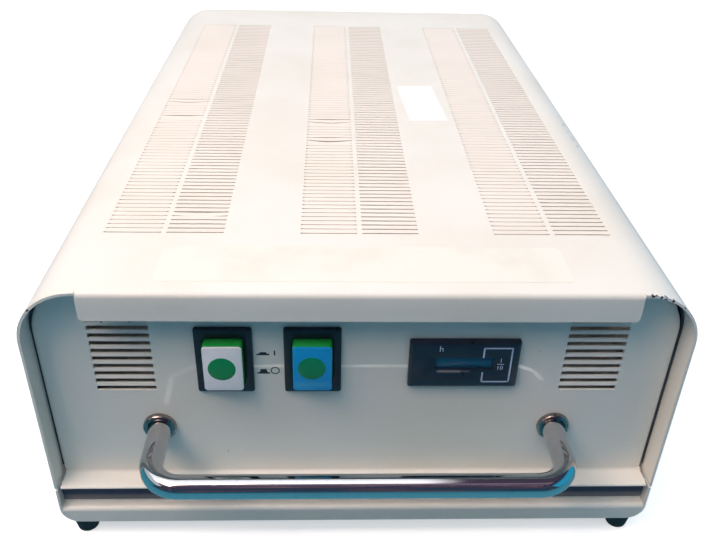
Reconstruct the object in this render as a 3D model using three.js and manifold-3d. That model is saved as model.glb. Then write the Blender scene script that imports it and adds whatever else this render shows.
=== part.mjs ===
// Phototherapy light: a sheet-steel housing with louvred top, a hinged window frame underneath,
// six twin-tube lamps lying across it, two push-button switches, an hour meter and a tubular handle.
// Millimetres, +Z up, front towards -Y. Z = 0 is the floor under the feet, X = 0 the middle.
// While the pieces are made, Y = 0 is the outer face of the front panel.

import * as THREE from "three";
import { mergeGeometries, mergeVertices } from "three/addons/utils/BufferGeometryUtils.js";
import Module from "manifold-3d";

const wasm = await Module();
wasm.setup();

// Housing
const housingWidth = 280;
const housingHeight = 131.2; // underside of the window frame to the top of the cover
const coverLength = 434;
const cornerRadius = 25;
const sheet = 1.2;
const frameHeight = 21; // window frame, without its feet
const lipInset = 1.25; // end of the lip to the start of the rounded shoulder
const lipHeight = 13.4;
const lipBend = 2.5;
const panelRecess = 10; // front panel behind the front edge of the cover
const panelGap = 1;
const shelfGap = 1.6; // ends of the shelf to the sides of the cover
const seamGap = 1; // cover sides to window frame

// Clearances
const seat = 0.3; // pieces that rest on each other
const running = 0.08; // a shaft in its bore, on the radius
const overrun = 3; // a cutter past the face it opens

// Louvres in the top: pairs of columns whose slits lean opposite ways
const louvreColumnWidth = 25.4;
const louvrePairGap = 2.2;
const louvrePairs = 3;
const louvrePitch = 7.8;
const louvreSlit = 2.2;
const louvreMargin = 26.5; // side of the cover to the outer slits
const louvreFieldStart = 39; // front panel to the first slit
const louvreFieldEnd = 49; // last slit to the rear edge
const louvreLean = 0.7; // run of a slit's wall per unit of sheet thickness

// Vents in the front and rear panels
const ventWidth = 25.9;
const ventPitch = 4.07;
const ventSlit = 1.7;
const ventRows = 10;
const ventMargin = 24.85; // side of the cover to the slits
const ventDrop = 56.6; // top of the cover to the lowest slit

// Window frame under the housing
const frameSheet = 1.2;
const frameCornerRadius = 8.5;
const frameRimHeight = 9.2;
const grooveDepth = 5;
const windowMarginSide = 22;
const windowMarginEnd = 24;
const paneThickness = 3;
const paneLap = 6; // pane over the flange round the window
const stripWidth = 9;
const stripInset = 12; // strip ends from the pane ends

// Hinge of the window frame
const hingeInset = 5; // rear face to the axis
const hingeRise = 16; // lower edge of the cover to the axis
const hingePinRadius = 1.5;
const hingePinHeadRadius = 2.8;
const hingePinHead = 1.6;
const hingeEarRadius = 3.2;
const hingeEarThickness = 2.6;
const hingeEarGap = 0.8;
const hingeEarRoot = 14; // ear below the top edge of the frame

// Magnet catches for the window frame
const catchWidth = 24;
const catchDepth = 11;
const catchHeight = 7.6;
const catchClearance = 0.8;
const catchOffsetShare = 0.5; // of the half width

// Feet
const footHeight = 10;
const footTopRadius = 6.6;
const footBottomRadius = 5;
const footSideInset = 9; // centre of a foot to the frame's side
const footEndInset = 7.5;

// Gear tray, reflector and lamps
const trayMargin = 6; // side of the cover to the tray
const trayShare = 0.578; // of the free height under the switches, below the tray and what hangs from it
const trayPinMargin = 4.8; // hinge pin to the lower edge of the tray's sides
const reflectorSheet = 0.8;
const reflectorEndGap = 1.5; // reflector to the clip rail and to the lamp bases
const reflectorDepth = 26;
const reflectorFlatHalf = 12;
const lampEndMargin = 26; // panels to the outer lamps' share of the length
const lampKinds = ["blue", "white", "blue", "blue", "white", "blue"];
const lampTubeRadius = 8.75;
const lampTubeSpacing = 22.5;
const lampHang = 29; // top of the tray to the lamp axes
const lampEndGap = 32; // tray to the closed ends of the tubes
const lampBridgeRadius = 4.5;
const lampBridgeInset = 14; // from the closed ends of the tubes
const lampBaseLength = 24;
const lampBaseWidth = 41;
const lampBaseHeight = 22;
const holderDepth = 15;
const holderWidth = 44;
const holderHeight = 27;
const holderArmLength = 8;
const holderArmThickness = 2;
const clipRailThickness = 6;
const clipRailInset = 22; // from the closed ends of the tubes
const clipGrip = 4; // rail below the lamp axes
const clipRailEnd = 8; // rail past the outer tubes

// Ballasts and terminal block on the tray
const ballastLength = 150;
const ballastCoreLength = 96;
const ballastWidth = 41;
const ballastHeight = 28;
const ballastBase = 2;
const ballastCoilWidth = 30;
const ballastCoilHeight = 20;
const ballastCount = 3;
const ballastPitch = 78;
const ballastInset = 19; // left side of the tray to the ballasts
const terminalLength = 62;
const terminalWidth = 17;
const terminalHeight = 12;
const terminalWays = 6;
const terminalPostSize = 6;
const terminalPostHeight = 6;
const terminalGap = 28.5; // ballasts to the terminal block

// Push-button switches
const bezelWidth = 24.6;
const bezelHeight = 34.1;
const bezelThickness = 1.5;
const bezelDrop = 40.3; // top of the cover to the middle of a bezel
const whiteBezelShare = -0.417; // place across the panel, of the half width
const blueBezelShare = -0.1465;
const capWidth = 16.8;
const capHeight = 23.2;
const capProud = 7.5; // face of a cap in front of the panel
const capFaceThickness = 1;
const capSlack = 0.4; // cap to bezel, each side
const capFlange = 1.3;
const capFlangeThickness = 1.5;
const capFlangeSetback = 0.6;
const capStemSize = 6;
const capStemLength = 6;
const buttonTravel = 3.5;
const switchWall = 1.2;
const switchDepth = 32;
const switchTabWidth = 6;
const switchTabThickness = 0.8;
const switchTabLength = 8;
const switchTabSpacing = 11;

// Hour meter
const meterWidth = 48;
const meterHeight = 24.4;
const meterProud = 2.9;
const meterShare = 0.3215; // place across the panel, of the half width
const meterDrop = 41.3;
const meterBodyMargin = 1.6;
const meterBodyDepth = 30;
const meterWindowWidth = 24.9;
const meterWindowHeight = 5.3;
const meterWindowRise = 0.6; // middle of the window above the middle of the meter
const meterWall = 1.2;
const meterLensThickness = 0.8;
const meterLensLap = 1.6;
const drumNames = ["ten_thousands", "thousands", "hundreds", "tens", "units", "tenths"];
const drumRadius = 4.8;
const drumGap = 0.25;
const drumRimWidth = 1;
const drumWebThickness = 1.6;
const drumHubRadius = 1.8;
const drumShaftRadius = 0.8;

// Handle
const handleRadius = 4.75;
const handleInset = 50; // side of the cover to the axis of a foot
const handleReach = 37.5; // panel to the axis of the bar
const handleBend = 14;
const handleRiseShare = 0.574; // of the height from the shelf to the lowest vent slit
const collarRadius = 7.5;
const collarInnerRadius = 5.1;
const collarThickness = 3;
const handleScrewRadius = 2.5;
const handleScrewHeadRadius = 4.6;
const handleScrewHead = 3.2;
const handleScrewBite = 11; // screw into the handle

// Mains inlet and fuse drawer on the rear panel
const inletShare = -0.39; // place across the panel, of the half width
const inletRise = 21; // top of the tray to the middle of the inlet
const inletFlangeWidth = 34;
const inletFlangeHeight = 42;
const inletFlangeThickness = 3;
const inletBodyWidth = 27.6;
const inletBodyDepth = 24;
const socketWidth = 24;
const socketHeight = 16.4;
const socketChamfer = 5;
const socketDepth = 17;
const socketRise = 7.4; // socket above the middle of the inlet
const inletPinWidth = 4;
const inletPinThickness = 2;
const inletPinLength = 14;
const inletPinSpacing = 14;
const inletPinDrop = 2.6; // line and neutral pins under the middle of the socket
const inletEarthRise = 3.6;
const drawerWidth = 20;
const drawerHeight = 9;
const drawerDepth = 18;
const drawerDropFromInlet = 11.4;
const drawerSlack = 0.4;
const drawerLip = 2;
const drawerWellLength = 11;
const drawerWall = 1.6;

// Facets
const bendFacets = 4; // half of those on a rounded shoulder
const tubeFacets = 12;
const handleFacets = 7; // half of those round the tube
const handleBendSteps = 8;
const roundFacets = 20;
const smallFacets = 12;
const domeFacets = 3;

// Levels and planes worked out from the sizes above
const underside = footHeight;
const top = underside + housingHeight;
const frontEdge = -panelRecess;
const rearEdge = coverLength - panelRecess;
const halfWidth = housingWidth / 2;
const frameTop = underside + frameHeight;
const skirtBottom = frameTop + seamGap;
const shelfTop = skirtBottom + sheet;
const halfLip = halfWidth - cornerRadius - lipInset;
const ventX = halfWidth - ventMargin - ventWidth / 2;
const frameFloor = underside + frameSheet;
const frameInnerHalf = halfWidth - frameSheet;
const frameWallY = frontEdge + grooveDepth; // outer face of the wall behind the groove
const rimTop = underside + frameRimHeight;
const paneZ = [frameFloor + seat, frameFloor + seat + paneThickness];
const hingeY = rearEdge - hingeInset;
const hingeZ = skirtBottom + hingeRise;
const whiteBezelX = whiteBezelShare * halfWidth;
const blueBezelX = blueBezelShare * halfWidth;
const buttonZ = top - bezelDrop;
const switchHalfWidth = bezelWidth / 2 - switchWall;
const switchHalfHeight = bezelHeight / 2 - switchWall;
const meterX = meterShare * halfWidth;
const meterZ = top - meterDrop;
const meterWindowZ = meterZ + meterWindowRise;
const lampSetHeight = lampHang + holderHeight / 2; // the tray and what hangs from it
const freeHeight = buttonZ - switchHalfHeight - paneZ[1] - lampSetHeight;
const trayTop = paneZ[1] + lampSetHeight + trayShare * freeHeight;
const trayUnder = trayTop - sheet;
const trayLow = hingeZ - trayPinMargin;
const trayHalf = halfWidth - trayMargin;
const hingeEarOuter = halfWidth - sheet - hingeEarGap;
const hingeEarInner = hingeEarOuter - hingeEarThickness;
const lampZ = trayTop - lampHang;
const lampMiddle = rearEdge / 2;
const lampPitch = (rearEdge - 2 * lampEndMargin) / lampKinds.length;
const lampY = lampKinds.map((kind, i) => lampMiddle + (i - (lampKinds.length - 1) / 2) * lampPitch);
const holderOuter = trayHalf - sheet - seat;
const holderInner = holderOuter - holderDepth;
const baseOuter = holderInner - seat;
const baseInner = baseOuter - lampBaseLength;
const tubeEnd = lampEndGap - trayHalf + sheet;
const lampTubeLength = baseInner - tubeEnd;
const clipRailX = [tubeEnd + clipRailInset, tubeEnd + clipRailInset + clipRailThickness];
const handleHalf = halfWidth - handleInset;
const handleZ = shelfTop + handleRiseShare * (top - ventDrop - ventSlit / 2 - shelfTop);
const inletX = inletShare * halfWidth;
const inletZ = trayTop + inletRise;

// Colours and finishes
const finish = (color, roughness, metalness, opacity = 1) => () =>
  new THREE.MeshStandardMaterial({ color, roughness, metalness, opacity, transparent: opacity < 1 });
const creamPaint = finish(0xe9e4d8, 0.5, 0);
const zincSheet = finish(0xb4b8ba, 0.45, 0.9);
const brightAluminium = finish(0xdfe2e4, 0.15, 1);
const chrome = finish(0xe6e8ea, 0.06, 1);
const steel = finish(0x8f9396, 0.35, 0.9);
const blackPlastic = finish(0x1c2330, 0.4, 0);
const greenPlastic = finish(0x2f9a35, 0.3, 0);
const whitePlastic = finish(0xd8d8dc, 0.4, 0);
const bluePlastic = finish(0x1b7fc0, 0.4, 0);
const meterPlastic = finish(0x1a212e, 0.35, 0);
const smokedWindow = finish(0x2b5a74, 0.1, 0, 0.6);
const drumPlastic = finish(0x22262a, 0.5, 0);
const clearAcrylic = finish(0xeef4f6, 0.05, 0, 0.35);
const lampGlass = finish(0xf2f4f6, 0.25, 0);
const rubber = finish(0x17181a, 0.85, 0);

// Solids
function toSolid(geometry) {
  const bare = geometry.clone();
  bare.deleteAttribute("normal");
  bare.deleteAttribute("uv");
  const merged = mergeVertices(bare);
  const vertProperties = merged.attributes.position.array;
  const triVerts = new Uint32Array(merged.index.array);
  return new wasm.Manifold(new wasm.Mesh({ numProp: 3, vertProperties, triVerts }));
}

function toGeometry(solid) {
  const mesh = solid.getMesh();
  const position = new THREE.BufferAttribute(new Float32Array(mesh.vertProperties), 3);
  return new THREE.BufferGeometry()
    .setAttribute("position", position)
    .setIndex(new THREE.BufferAttribute(new Uint32Array(mesh.triVerts), 1));
}

const join = (...pieces) => toGeometry(pieces.map(toSolid).reduce((a, b) => a.add(b)));
const cut = (piece, ...tools) =>
  toGeometry(tools.map(toSolid).reduce((a, b) => a.subtract(b), toSolid(piece)));

function block([x0, x1], [y0, y1], [z0, z1]) {
  const box = new THREE.BoxGeometry(x1 - x0, y1 - y0, z1 - z0);
  return box.translate((x0 + x1) / 2, (y0 + y1) / 2, (z0 + z1) / 2);
}

// A band about a middle: the two ends of a width centred there.
const about = (middle, width) => [middle - width / 2, middle + width / 2];

// A band between two levels given in either order.
const between = (a, b) => [Math.min(a, b), Math.max(a, b)];

// An outline drawn in X and Z, carried along Y.
function alongY(shape, from, to) {
  const options = { depth: to - from, bevelEnabled: false, curveSegments: bendFacets };
  return new THREE.ExtrudeGeometry(shape, options).rotateX(Math.PI / 2).translate(0, to, 0);
}

// An outline drawn in Y and Z, carried along X.
const yzxBasis = new THREE.Matrix4().makeBasis(
  new THREE.Vector3(0, 1, 0),
  new THREE.Vector3(0, 0, 1),
  new THREE.Vector3(1, 0, 0),
);
function alongX(shape, from, to) {
  const options = { depth: to - from, bevelEnabled: false, curveSegments: bendFacets };
  return new THREE.ExtrudeGeometry(shape, options).applyMatrix4(yzxBasis).translate(from, 0, 0);
}

function rodX(radius, [from, to], y, z, facets = smallFacets) {
  const rod = new THREE.CylinderGeometry(radius, radius, to - from, facets).rotateZ(Math.PI / 2);
  return rod.translate((from + to) / 2, y, z);
}

function rodY(radius, [from, to], x, z, facets = smallFacets) {
  return new THREE.CylinderGeometry(radius, radius, to - from, facets).translate(x, (from + to) / 2, z);
}

function polygon(points) {
  return new THREE.Shape(points.map(([a, b]) => new THREE.Vector2(a, b)));
}

const root = new THREE.Group();
const housing = new THREE.Group();
const windowDoor = new THREE.Group();
root.add(housing, windowDoor);

function place(parent, name, geometry, material) {
  const mesh = new THREE.Mesh(geometry, material());
  mesh.name = name;
  parent.add(mesh);
}

const sides = [
  ["left", -1],
  ["right", 1],
];

// An arch with rounded shoulders: straight sides down to a level, drawn in X and Z.
function archPath(path, half, level, crown, radius) {
  path.moveTo(-half, level);
  path.lineTo(-half, crown - radius);
  path.absarc(-half + radius, crown - radius, radius, Math.PI, Math.PI / 2, true);
  path.lineTo(half - radius, crown);
  path.absarc(half - radius, crown - radius, radius, Math.PI / 2, 0, true);
  path.lineTo(half, level);
  return path;
}

// Top cover: an arch of sheet with a lip folded down in front and six columns of leaning slits
function coverArch() {
  const shape = archPath(new THREE.Shape(), halfWidth, skirtBottom, top, cornerRadius);
  const inner = halfWidth - sheet;
  const innerRadius = cornerRadius - sheet;
  shape.lineTo(inner, skirtBottom);
  shape.lineTo(inner, top - cornerRadius);
  shape.absarc(halfWidth - cornerRadius, top - cornerRadius, innerRadius, 0, Math.PI / 2, false);
  shape.lineTo(-halfWidth + cornerRadius, top - sheet);
  shape.absarc(-halfWidth + cornerRadius, top - cornerRadius, innerRadius, Math.PI / 2, Math.PI, false);
  shape.lineTo(-inner, skirtBottom);
  return alongY(shape, frontEdge, rearEdge);
}

function coverLip() {
  const shape = new THREE.Shape();
  const bendY = frontEdge + lipBend;
  const bendZ = top - lipBend;
  shape.moveTo(bendY, top);
  shape.absarc(bendY, bendZ, lipBend, Math.PI / 2, Math.PI, false);
  shape.lineTo(frontEdge, top - lipHeight);
  shape.lineTo(frontEdge + sheet, top - lipHeight);
  shape.lineTo(frontEdge + sheet, bendZ);
  shape.absarc(bendY, bendZ, lipBend - sheet, Math.PI, Math.PI / 2, true);
  return alongX(shape, -halfLip, halfLip);
}

function louvreSlits() {
  const fieldLength = rearEdge - louvreFieldEnd - louvreFieldStart;
  const rows = Math.floor(fieldLength / louvrePitch) + 1;
  const columnStep = louvreColumnWidth + louvrePairGap;
  const pairWidth = columnStep + louvreColumnWidth;
  const pairPitch = (housingWidth - 2 * louvreMargin - pairWidth) / (louvrePairs - 1);
  const slits = [];
  for (let pair = 0; pair < louvrePairs; pair++) {
    for (const [, side] of sides) {
      const x = (pair - (louvrePairs - 1) / 2) * pairPitch + (side * columnStep) / 2;
      const slit = new THREE.BoxGeometry(louvreColumnWidth, louvreSlit, sheet + 2 * overrun);
      slit.applyMatrix4(new THREE.Matrix4().makeShear(0, 0, 0, 0, 0, side * louvreLean));
      slit.translate(x, 0, top - sheet / 2);
      for (let row = 0; row < rows; row++) {
        slits.push(slit.clone().translate(0, louvreFieldStart + row * louvrePitch, 0));
      }
    }
  }
  return mergeGeometries(slits);
}

function topCover() {
  const foldRoom = block(
    [-halfLip, halfLip],
    [frontEdge - overrun, frontEdge + lipBend],
    [top - sheet - overrun, top + overrun],
  );
  const folded = join(cut(coverArch(), foldRoom), coverLip());
  return cut(folded, louvreSlits());
}

place(housing, "top_cover", topCover(), creamPaint);

// Slits of the two vent fields in a panel whose outer face is at the given Y
function ventSlits(faceY, lean) {
  const slits = [];
  for (const [, side] of sides) {
    const slit = new THREE.BoxGeometry(ventWidth, sheet + 2 * overrun, ventSlit);
    slit.applyMatrix4(new THREE.Matrix4().makeShear(0, 0, 0, lean, 0, 0));
    slit.translate(side * ventX, faceY, top - ventDrop);
    for (let row = 0; row < ventRows; row++) {
      slits.push(slit.clone().translate(0, 0, row * ventPitch));
    }
  }
  return mergeGeometries(slits);
}

// Front panel: an arch-shaped plate with a shelf folded forward along its lower edge
const meterBodyHalfWidth = meterWidth / 2 - meterBodyMargin;
const meterBodyHalfHeight = meterHeight / 2 - meterBodyMargin;

function panelPlate(from, to, gap) {
  const inset = sheet + gap;
  const outline = new THREE.Shape();
  archPath(outline, halfWidth - inset, skirtBottom, top - inset, cornerRadius - inset);
  return alongY(outline, from, to);
}

function frontPanel() {
  const shelfHalf = halfWidth - sheet - shelfGap;
  const shelf = block([-shelfHalf, shelfHalf], [frontEdge, sheet], [skirtBottom, shelfTop]);
  const through = [-overrun, sheet + overrun];
  const cutouts = [ventSlits(sheet / 2, louvreLean)];
  const hole = (x, z, halfWide, halfHigh) =>
    block(about(x, 2 * (halfWide + seat)), through, about(z, 2 * (halfHigh + seat)));
  for (const x of [whiteBezelX, blueBezelX]) {
    cutouts.push(hole(x, buttonZ, switchHalfWidth, switchHalfHeight));
  }
  cutouts.push(hole(meterX, meterZ, meterBodyHalfWidth, meterBodyHalfHeight));
  for (const [, side] of sides) {
    cutouts.push(rodY(handleScrewRadius + seat, through, side * handleHalf, handleZ));
  }
  return cut(join(panelPlate(0, sheet, panelGap), shelf), ...cutouts);
}

place(housing, "front_panel", frontPanel(), creamPaint);

// Rear panel: the same plate, level with the rear edge of the cover and notched for the hinge ears
function rearPanel() {
  const face = [rearEdge - sheet, rearEdge];
  const through = [rearEdge - sheet - overrun, rearEdge + overrun];
  const cutouts = [ventSlits(rearEdge - sheet / 2, -louvreLean)];
  const earRoom = hingeEarThickness + 2 * hingeEarGap;
  const earLevels = [skirtBottom - overrun, hingeZ + hingeEarRadius + hingeEarGap];
  for (const [, side] of sides) {
    const middle = side * (hingeEarInner + hingeEarThickness / 2);
    cutouts.push(block(about(middle, earRoom), through, earLevels));
  }
  const inletHole = 2 * (inletFlangeHeight / 2 - inletFlangeThickness + seat);
  cutouts.push(block(about(inletX, inletBodyWidth + 2 * seat), through, about(inletZ, inletHole)));
  return cut(panelPlate(...face, seat), ...cutouts);
}

place(housing, "rear_panel", rearPanel(), creamPaint);

// Window frame: an open pan whose long lower edges are rounded, with a pull groove across its front,
// a window in its floor and two hinge ears that rise into the housing
function frameOutline(half, floor, radius) {
  const shape = new THREE.Shape();
  shape.moveTo(-half, frameTop);
  shape.lineTo(-half, floor + radius);
  shape.absarc(-half + radius, floor + radius, radius, Math.PI, 1.5 * Math.PI, false);
  shape.lineTo(half - radius, floor);
  shape.absarc(half - radius, floor + radius, radius, 1.5 * Math.PI, 2 * Math.PI, false);
  shape.lineTo(half, frameTop);
  return shape;
}

function hingeEar(side) {
  const shape = new THREE.Shape();
  const foot = frameTop - hingeEarRoot;
  shape.moveTo(hingeY - hingeEarRadius, foot);
  shape.lineTo(hingeY - hingeEarRadius, hingeZ);
  shape.absarc(hingeY, hingeZ, hingeEarRadius, Math.PI, 0, true);
  shape.lineTo(hingeY + hingeEarRadius, foot);
  const span = between(side * hingeEarInner, side * hingeEarOuter);
  const weld = between(side * hingeEarInner, side * (frameInnerHalf + frameSheet / 2));
  const weldPad = block(weld, about(hingeY, 2 * hingeEarRadius), [foot, frameTop - hingeEarGap]);
  return join(alongX(shape, ...span), weldPad);
}

function windowFrame() {
  const pan = alongY(frameOutline(halfWidth, underside, frameCornerRadius), frontEdge, rearEdge);
  const groove = block(
    [-frameInnerHalf, frameInnerHalf],
    [frontEdge - overrun, frameWallY],
    [rimTop, frameTop + overrun],
  );
  const innerOutline = frameOutline(frameInnerHalf, frameFloor, frameCornerRadius - frameSheet);
  const innerLength = [frameWallY + frameSheet, rearEdge - frameSheet];
  const hollow = alongY(innerOutline, ...innerLength);
  const mouth = block([-frameInnerHalf, frameInnerHalf], innerLength, [rimTop, frameTop + overrun]);
  const rimHollow = block(
    [-frameInnerHalf + frameCornerRadius, frameInnerHalf - frameCornerRadius],
    [frontEdge + frameSheet, frameWallY + frameSheet + overrun],
    [frameFloor, rimTop - frameSheet],
  );
  const opening = block(
    [-halfWidth + windowMarginSide, halfWidth - windowMarginSide],
    [frontEdge + windowMarginEnd, rearEdge - windowMarginEnd],
    [underside - overrun, frameFloor + overrun],
  );
  const shell = cut(pan, groove, hollow, mouth, rimHollow, opening);
  const pinBore = hingePinRadius + running;
  return cut(
    join(shell, hingeEar(-1), hingeEar(1)),
    rodX(pinBore, [-halfWidth + frameSheet, halfWidth - frameSheet], hingeY, hingeZ),
  );
}

place(windowDoor, "window_frame", windowFrame(), creamPaint);

// Clear pane on the flange round the window, held down by two strips
const paneHalf = halfWidth - windowMarginSide + paneLap;
const paneY = [frontEdge + windowMarginEnd - paneLap, rearEdge - windowMarginEnd + paneLap];
place(windowDoor, "filter_pane", block([-paneHalf, paneHalf], paneY, paneZ), clearAcrylic);

function paneStrip(side) {
  const inner = paneHalf - paneLap / 2;
  const outer = inner + stripWidth;
  const low = frameFloor + seat;
  const lapUnder = paneZ[1] + seat;
  const lapTop = lapUnder + frameSheet;
  const shape = polygon([
    [side * inner, lapUnder],
    [side * inner, lapTop],
    [side * outer, lapTop],
    [side * outer, low],
    [side * (paneHalf + seat), low],
    [side * (paneHalf + seat), lapUnder],
  ]);
  return alongY(shape, paneY[0] + stripInset, paneY[1] - stripInset);
}

for (const [word, side] of sides) place(windowDoor, `pane_strip_${word}`, paneStrip(side), zincSheet);

// Feet: tapered rubber buttons under the corners of the window frame
function foot(x, y) {
  const profile = [
    [0, 0],
    [footBottomRadius, 0],
    [footTopRadius, footHeight - seat],
    [0, footHeight - seat],
  ];
  const points = profile.map(([radius, z]) => new THREE.Vector2(radius, z));
  return new THREE.LatheGeometry(points, roundFacets).rotateX(Math.PI / 2).translate(x, y, 0);
}

for (const [word, side] of sides) {
  const x = side * (halfWidth - footSideInset);
  place(windowDoor, `foot_front_${word}`, foot(x, frontEdge + footEndInset), rubber);
  place(windowDoor, `foot_rear_${word}`, foot(x, rearEdge - footEndInset), rubber);
}

// Gear tray: a channel of sheet between the panels, open side down, with holes for the hinge pins
const trayY = [sheet + seat, rearEdge - sheet - seat];

function gearTray() {
  const shape = polygon([
    [-trayHalf, trayLow],
    [-trayHalf, trayTop],
    [trayHalf, trayTop],
    [trayHalf, trayLow],
    [trayHalf - sheet, trayLow],
    [trayHalf - sheet, trayUnder],
    [-trayHalf + sheet, trayUnder],
    [-trayHalf + sheet, trayLow],
  ]);
  return cut(
    alongY(shape, ...trayY),
    rodX(hingePinRadius + running, [-trayHalf - overrun, trayHalf + overrun], hingeY, hingeZ),
  );
}

place(housing, "gear_tray", gearTray(), zincSheet);

function hingePin(side) {
  const headInner = trayHalf - sheet - seat - hingePinHead;
  const shank = between(side * headInner, side * (halfWidth - sheet - seat));
  const head = between(side * headInner, side * (headInner + hingePinHead));
  return join(rodX(hingePinRadius, shank, hingeY, hingeZ), rodX(hingePinHeadRadius, head, hingeY, hingeZ));
}

for (const [word, side] of sides) place(housing, `hinge_pin_${word}`, hingePin(side), steel);

// Magnet catches hung under the shelf, behind the front wall of the window frame
function magnetCatch(side) {
  const front = frameWallY + frameSheet + catchClearance;
  const high = skirtBottom - seat;
  const middle = side * catchOffsetShare * halfWidth;
  return block(about(middle, catchWidth), [front, front + catchDepth], [high - catchHeight, high]);
}

for (const [word, side] of sides) place(housing, `magnet_catch_${word}`, magnetCatch(side), blackPlastic);

// Reflector: one folded sheet with a trough over each lamp
function reflector() {
  const crest = trayUnder - seat;
  const valley = crest - reflectorDepth;
  const upper = [];
  lampY.forEach((y, i) => {
    if (i === 0) upper.push([y - lampPitch / 2, valley]);
    upper.push([y - reflectorFlatHalf, crest], [y + reflectorFlatHalf, crest], [y + lampPitch / 2, valley]);
  });
  const lower = upper.map(([y, z]) => [y, z - reflectorSheet]).reverse();
  const span = [clipRailX[1] + reflectorEndGap, baseInner - reflectorEndGap];
  return alongX(polygon([...upper, ...lower]), ...span);
}

place(housing, "reflector", reflector(), brightAluminium);

// Twin-tube lamps with a moulded base at their right end
function lampTube(y) {
  const points = [new THREE.Vector2(0, 0), new THREE.Vector2(lampTubeRadius, 0)];
  for (let i = 0; i <= domeFacets; i++) {
    const angle = (i / domeFacets) * (Math.PI / 2);
    const reach = lampTubeLength - lampTubeRadius + lampTubeRadius * Math.sin(angle);
    points.push(new THREE.Vector2(i === domeFacets ? 0 : lampTubeRadius * Math.cos(angle), reach));
  }
  const tube = new THREE.LatheGeometry(points, tubeFacets).rotateZ(Math.PI / 2);
  return tube.translate(baseInner + seat, y, lampZ);
}

function lamp(y) {
  const bridgeX = tubeEnd + lampBridgeInset;
  const bridge = rodY(lampBridgeRadius, about(y, lampTubeSpacing), bridgeX, lampZ);
  const base = block([baseInner, baseOuter], about(y, lampBaseWidth), about(lampZ, lampBaseHeight));
  return join(lampTube(y - lampTubeSpacing / 2), lampTube(y + lampTubeSpacing / 2), bridge, base);
}

// Lampholder: a block on the side of the tray with arms over and under the lamp base
function lampHolder(y) {
  const body = block([holderInner, holderOuter], about(y, holderWidth), about(lampZ, holderHeight));
  const armReach = [holderInner - holderArmLength, holderInner + holderDepth / 2];
  const armInner = lampBaseHeight / 2 + seat;
  const arms = [1, -1].map((way) => {
    const levels = between(lampZ + way * armInner, lampZ + way * (armInner + holderArmThickness));
    return block(armReach, about(y, holderWidth / 2), levels);
  });
  return join(body, ...arms);
}

const kindCount = {};
lampKinds.forEach((kind, i) => {
  kindCount[kind] = (kindCount[kind] ?? 0) + 1;
  place(housing, `lamp_${kind}_${kindCount[kind]}`, lamp(lampY[i]), lampGlass);
  place(housing, `lamp_holder_${i + 1}`, lampHolder(lampY[i]), whitePlastic);
});

// Clip rail: a bar hung from the tray, notched round the free ends of the tubes
function clipRail() {
  const reach = lampTubeSpacing / 2 + lampTubeRadius + clipRailEnd;
  const span = [lampY[0] - reach, lampY[lampY.length - 1] + reach];
  const bar = block(clipRailX, span, [lampZ - clipGrip, trayUnder - seat]);
  const through = [clipRailX[0] - overrun, clipRailX[1] + overrun];
  const notch = (y) => rodX(lampTubeRadius + seat, through, y, lampZ, tubeFacets);
  const notches = lampY.flatMap((y) => about(y, lampTubeSpacing).map(notch));
  return cut(bar, ...notches);
}

place(housing, "lamp_clip_rail", clipRail(), whitePlastic);

// Ballasts: a laminated core with a coil through it, on a base plate
const ballastX = ballastInset - trayHalf + ballastLength / 2;
const trayLoadLevel = trayTop + seat;

function ballast(y) {
  const part = (length, width, height) =>
    block(about(ballastX, length), about(y, width), [trayLoadLevel, trayLoadLevel + height]);
  const core = part(ballastCoreLength, ballastWidth, ballastHeight);
  const base = part(ballastLength, ballastWidth, ballastBase);
  const coil = part((ballastCoreLength + ballastLength) / 2, ballastCoilWidth, ballastCoilHeight);
  return join(core, base, coil);
}

for (let i = 0; i < ballastCount; i++) {
  const y = lampMiddle + (i - (ballastCount - 1) / 2) * ballastPitch;
  place(housing, `ballast_${i + 1}`, ballast(y), steel);
}

// Terminal block: a row of posts on a bar
function terminalBlock() {
  const x = ballastX + ballastLength / 2 + terminalGap + terminalWidth / 2;
  const barTop = trayLoadLevel + terminalHeight;
  const bar = block(about(x, terminalWidth), about(lampMiddle, terminalLength), [trayLoadLevel, barTop]);
  const step = terminalLength / terminalWays;
  const posts = Array.from({ length: terminalWays }, (_, i) => {
    const y = lampMiddle + (i - (terminalWays - 1) / 2) * step;
    const levels = [barTop - terminalHeight / 2, barTop + terminalPostHeight];
    return block(about(x, terminalPostSize), about(y, terminalPostSize), levels);
  });
  return join(bar, ...posts);
}

place(housing, "terminal_block", terminalBlock(), whitePlastic);

// Push-button switches: bezel, sliding cap with its coloured face, and the switch behind the panel
const bezelBack = -seat;
const bezelFront = bezelBack - bezelThickness;
const switchFront = seat;
const capFlangeY = [capFlangeSetback, capFlangeSetback + capFlangeThickness];
const capRoomDepth = capFlangeY[1] + buttonTravel + seat;
const capFront = -capProud;
const capBodyFront = capFront + capFaceThickness + seat;
const capFaces = { white: whitePlastic, blue: bluePlastic };

function buttonBezel(x) {
  const frame = block(about(x, bezelWidth), [bezelFront, bezelBack], about(buttonZ, bezelHeight));
  const hole = block(
    about(x, capWidth + 2 * capSlack),
    [bezelFront - overrun, bezelBack + overrun],
    about(buttonZ, capHeight + 2 * capSlack),
  );
  return cut(frame, hole);
}

function buttonCap(x) {
  const body = block(about(x, capWidth), [capBodyFront, capFlangeY[1]], about(buttonZ, capHeight));
  const flangeSize = [capWidth + 2 * capFlange, capHeight + 2 * capFlange];
  const flange = block(about(x, flangeSize[0]), capFlangeY, about(buttonZ, flangeSize[1]));
  const stem = block(about(x, capStemSize), [0, capFlangeY[1] + capStemLength], about(buttonZ, capStemSize));
  return join(body, flange, stem);
}

function capFace(x) {
  return block(about(x, capWidth), [capFront, capFront + capFaceThickness], about(buttonZ, capHeight));
}

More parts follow.
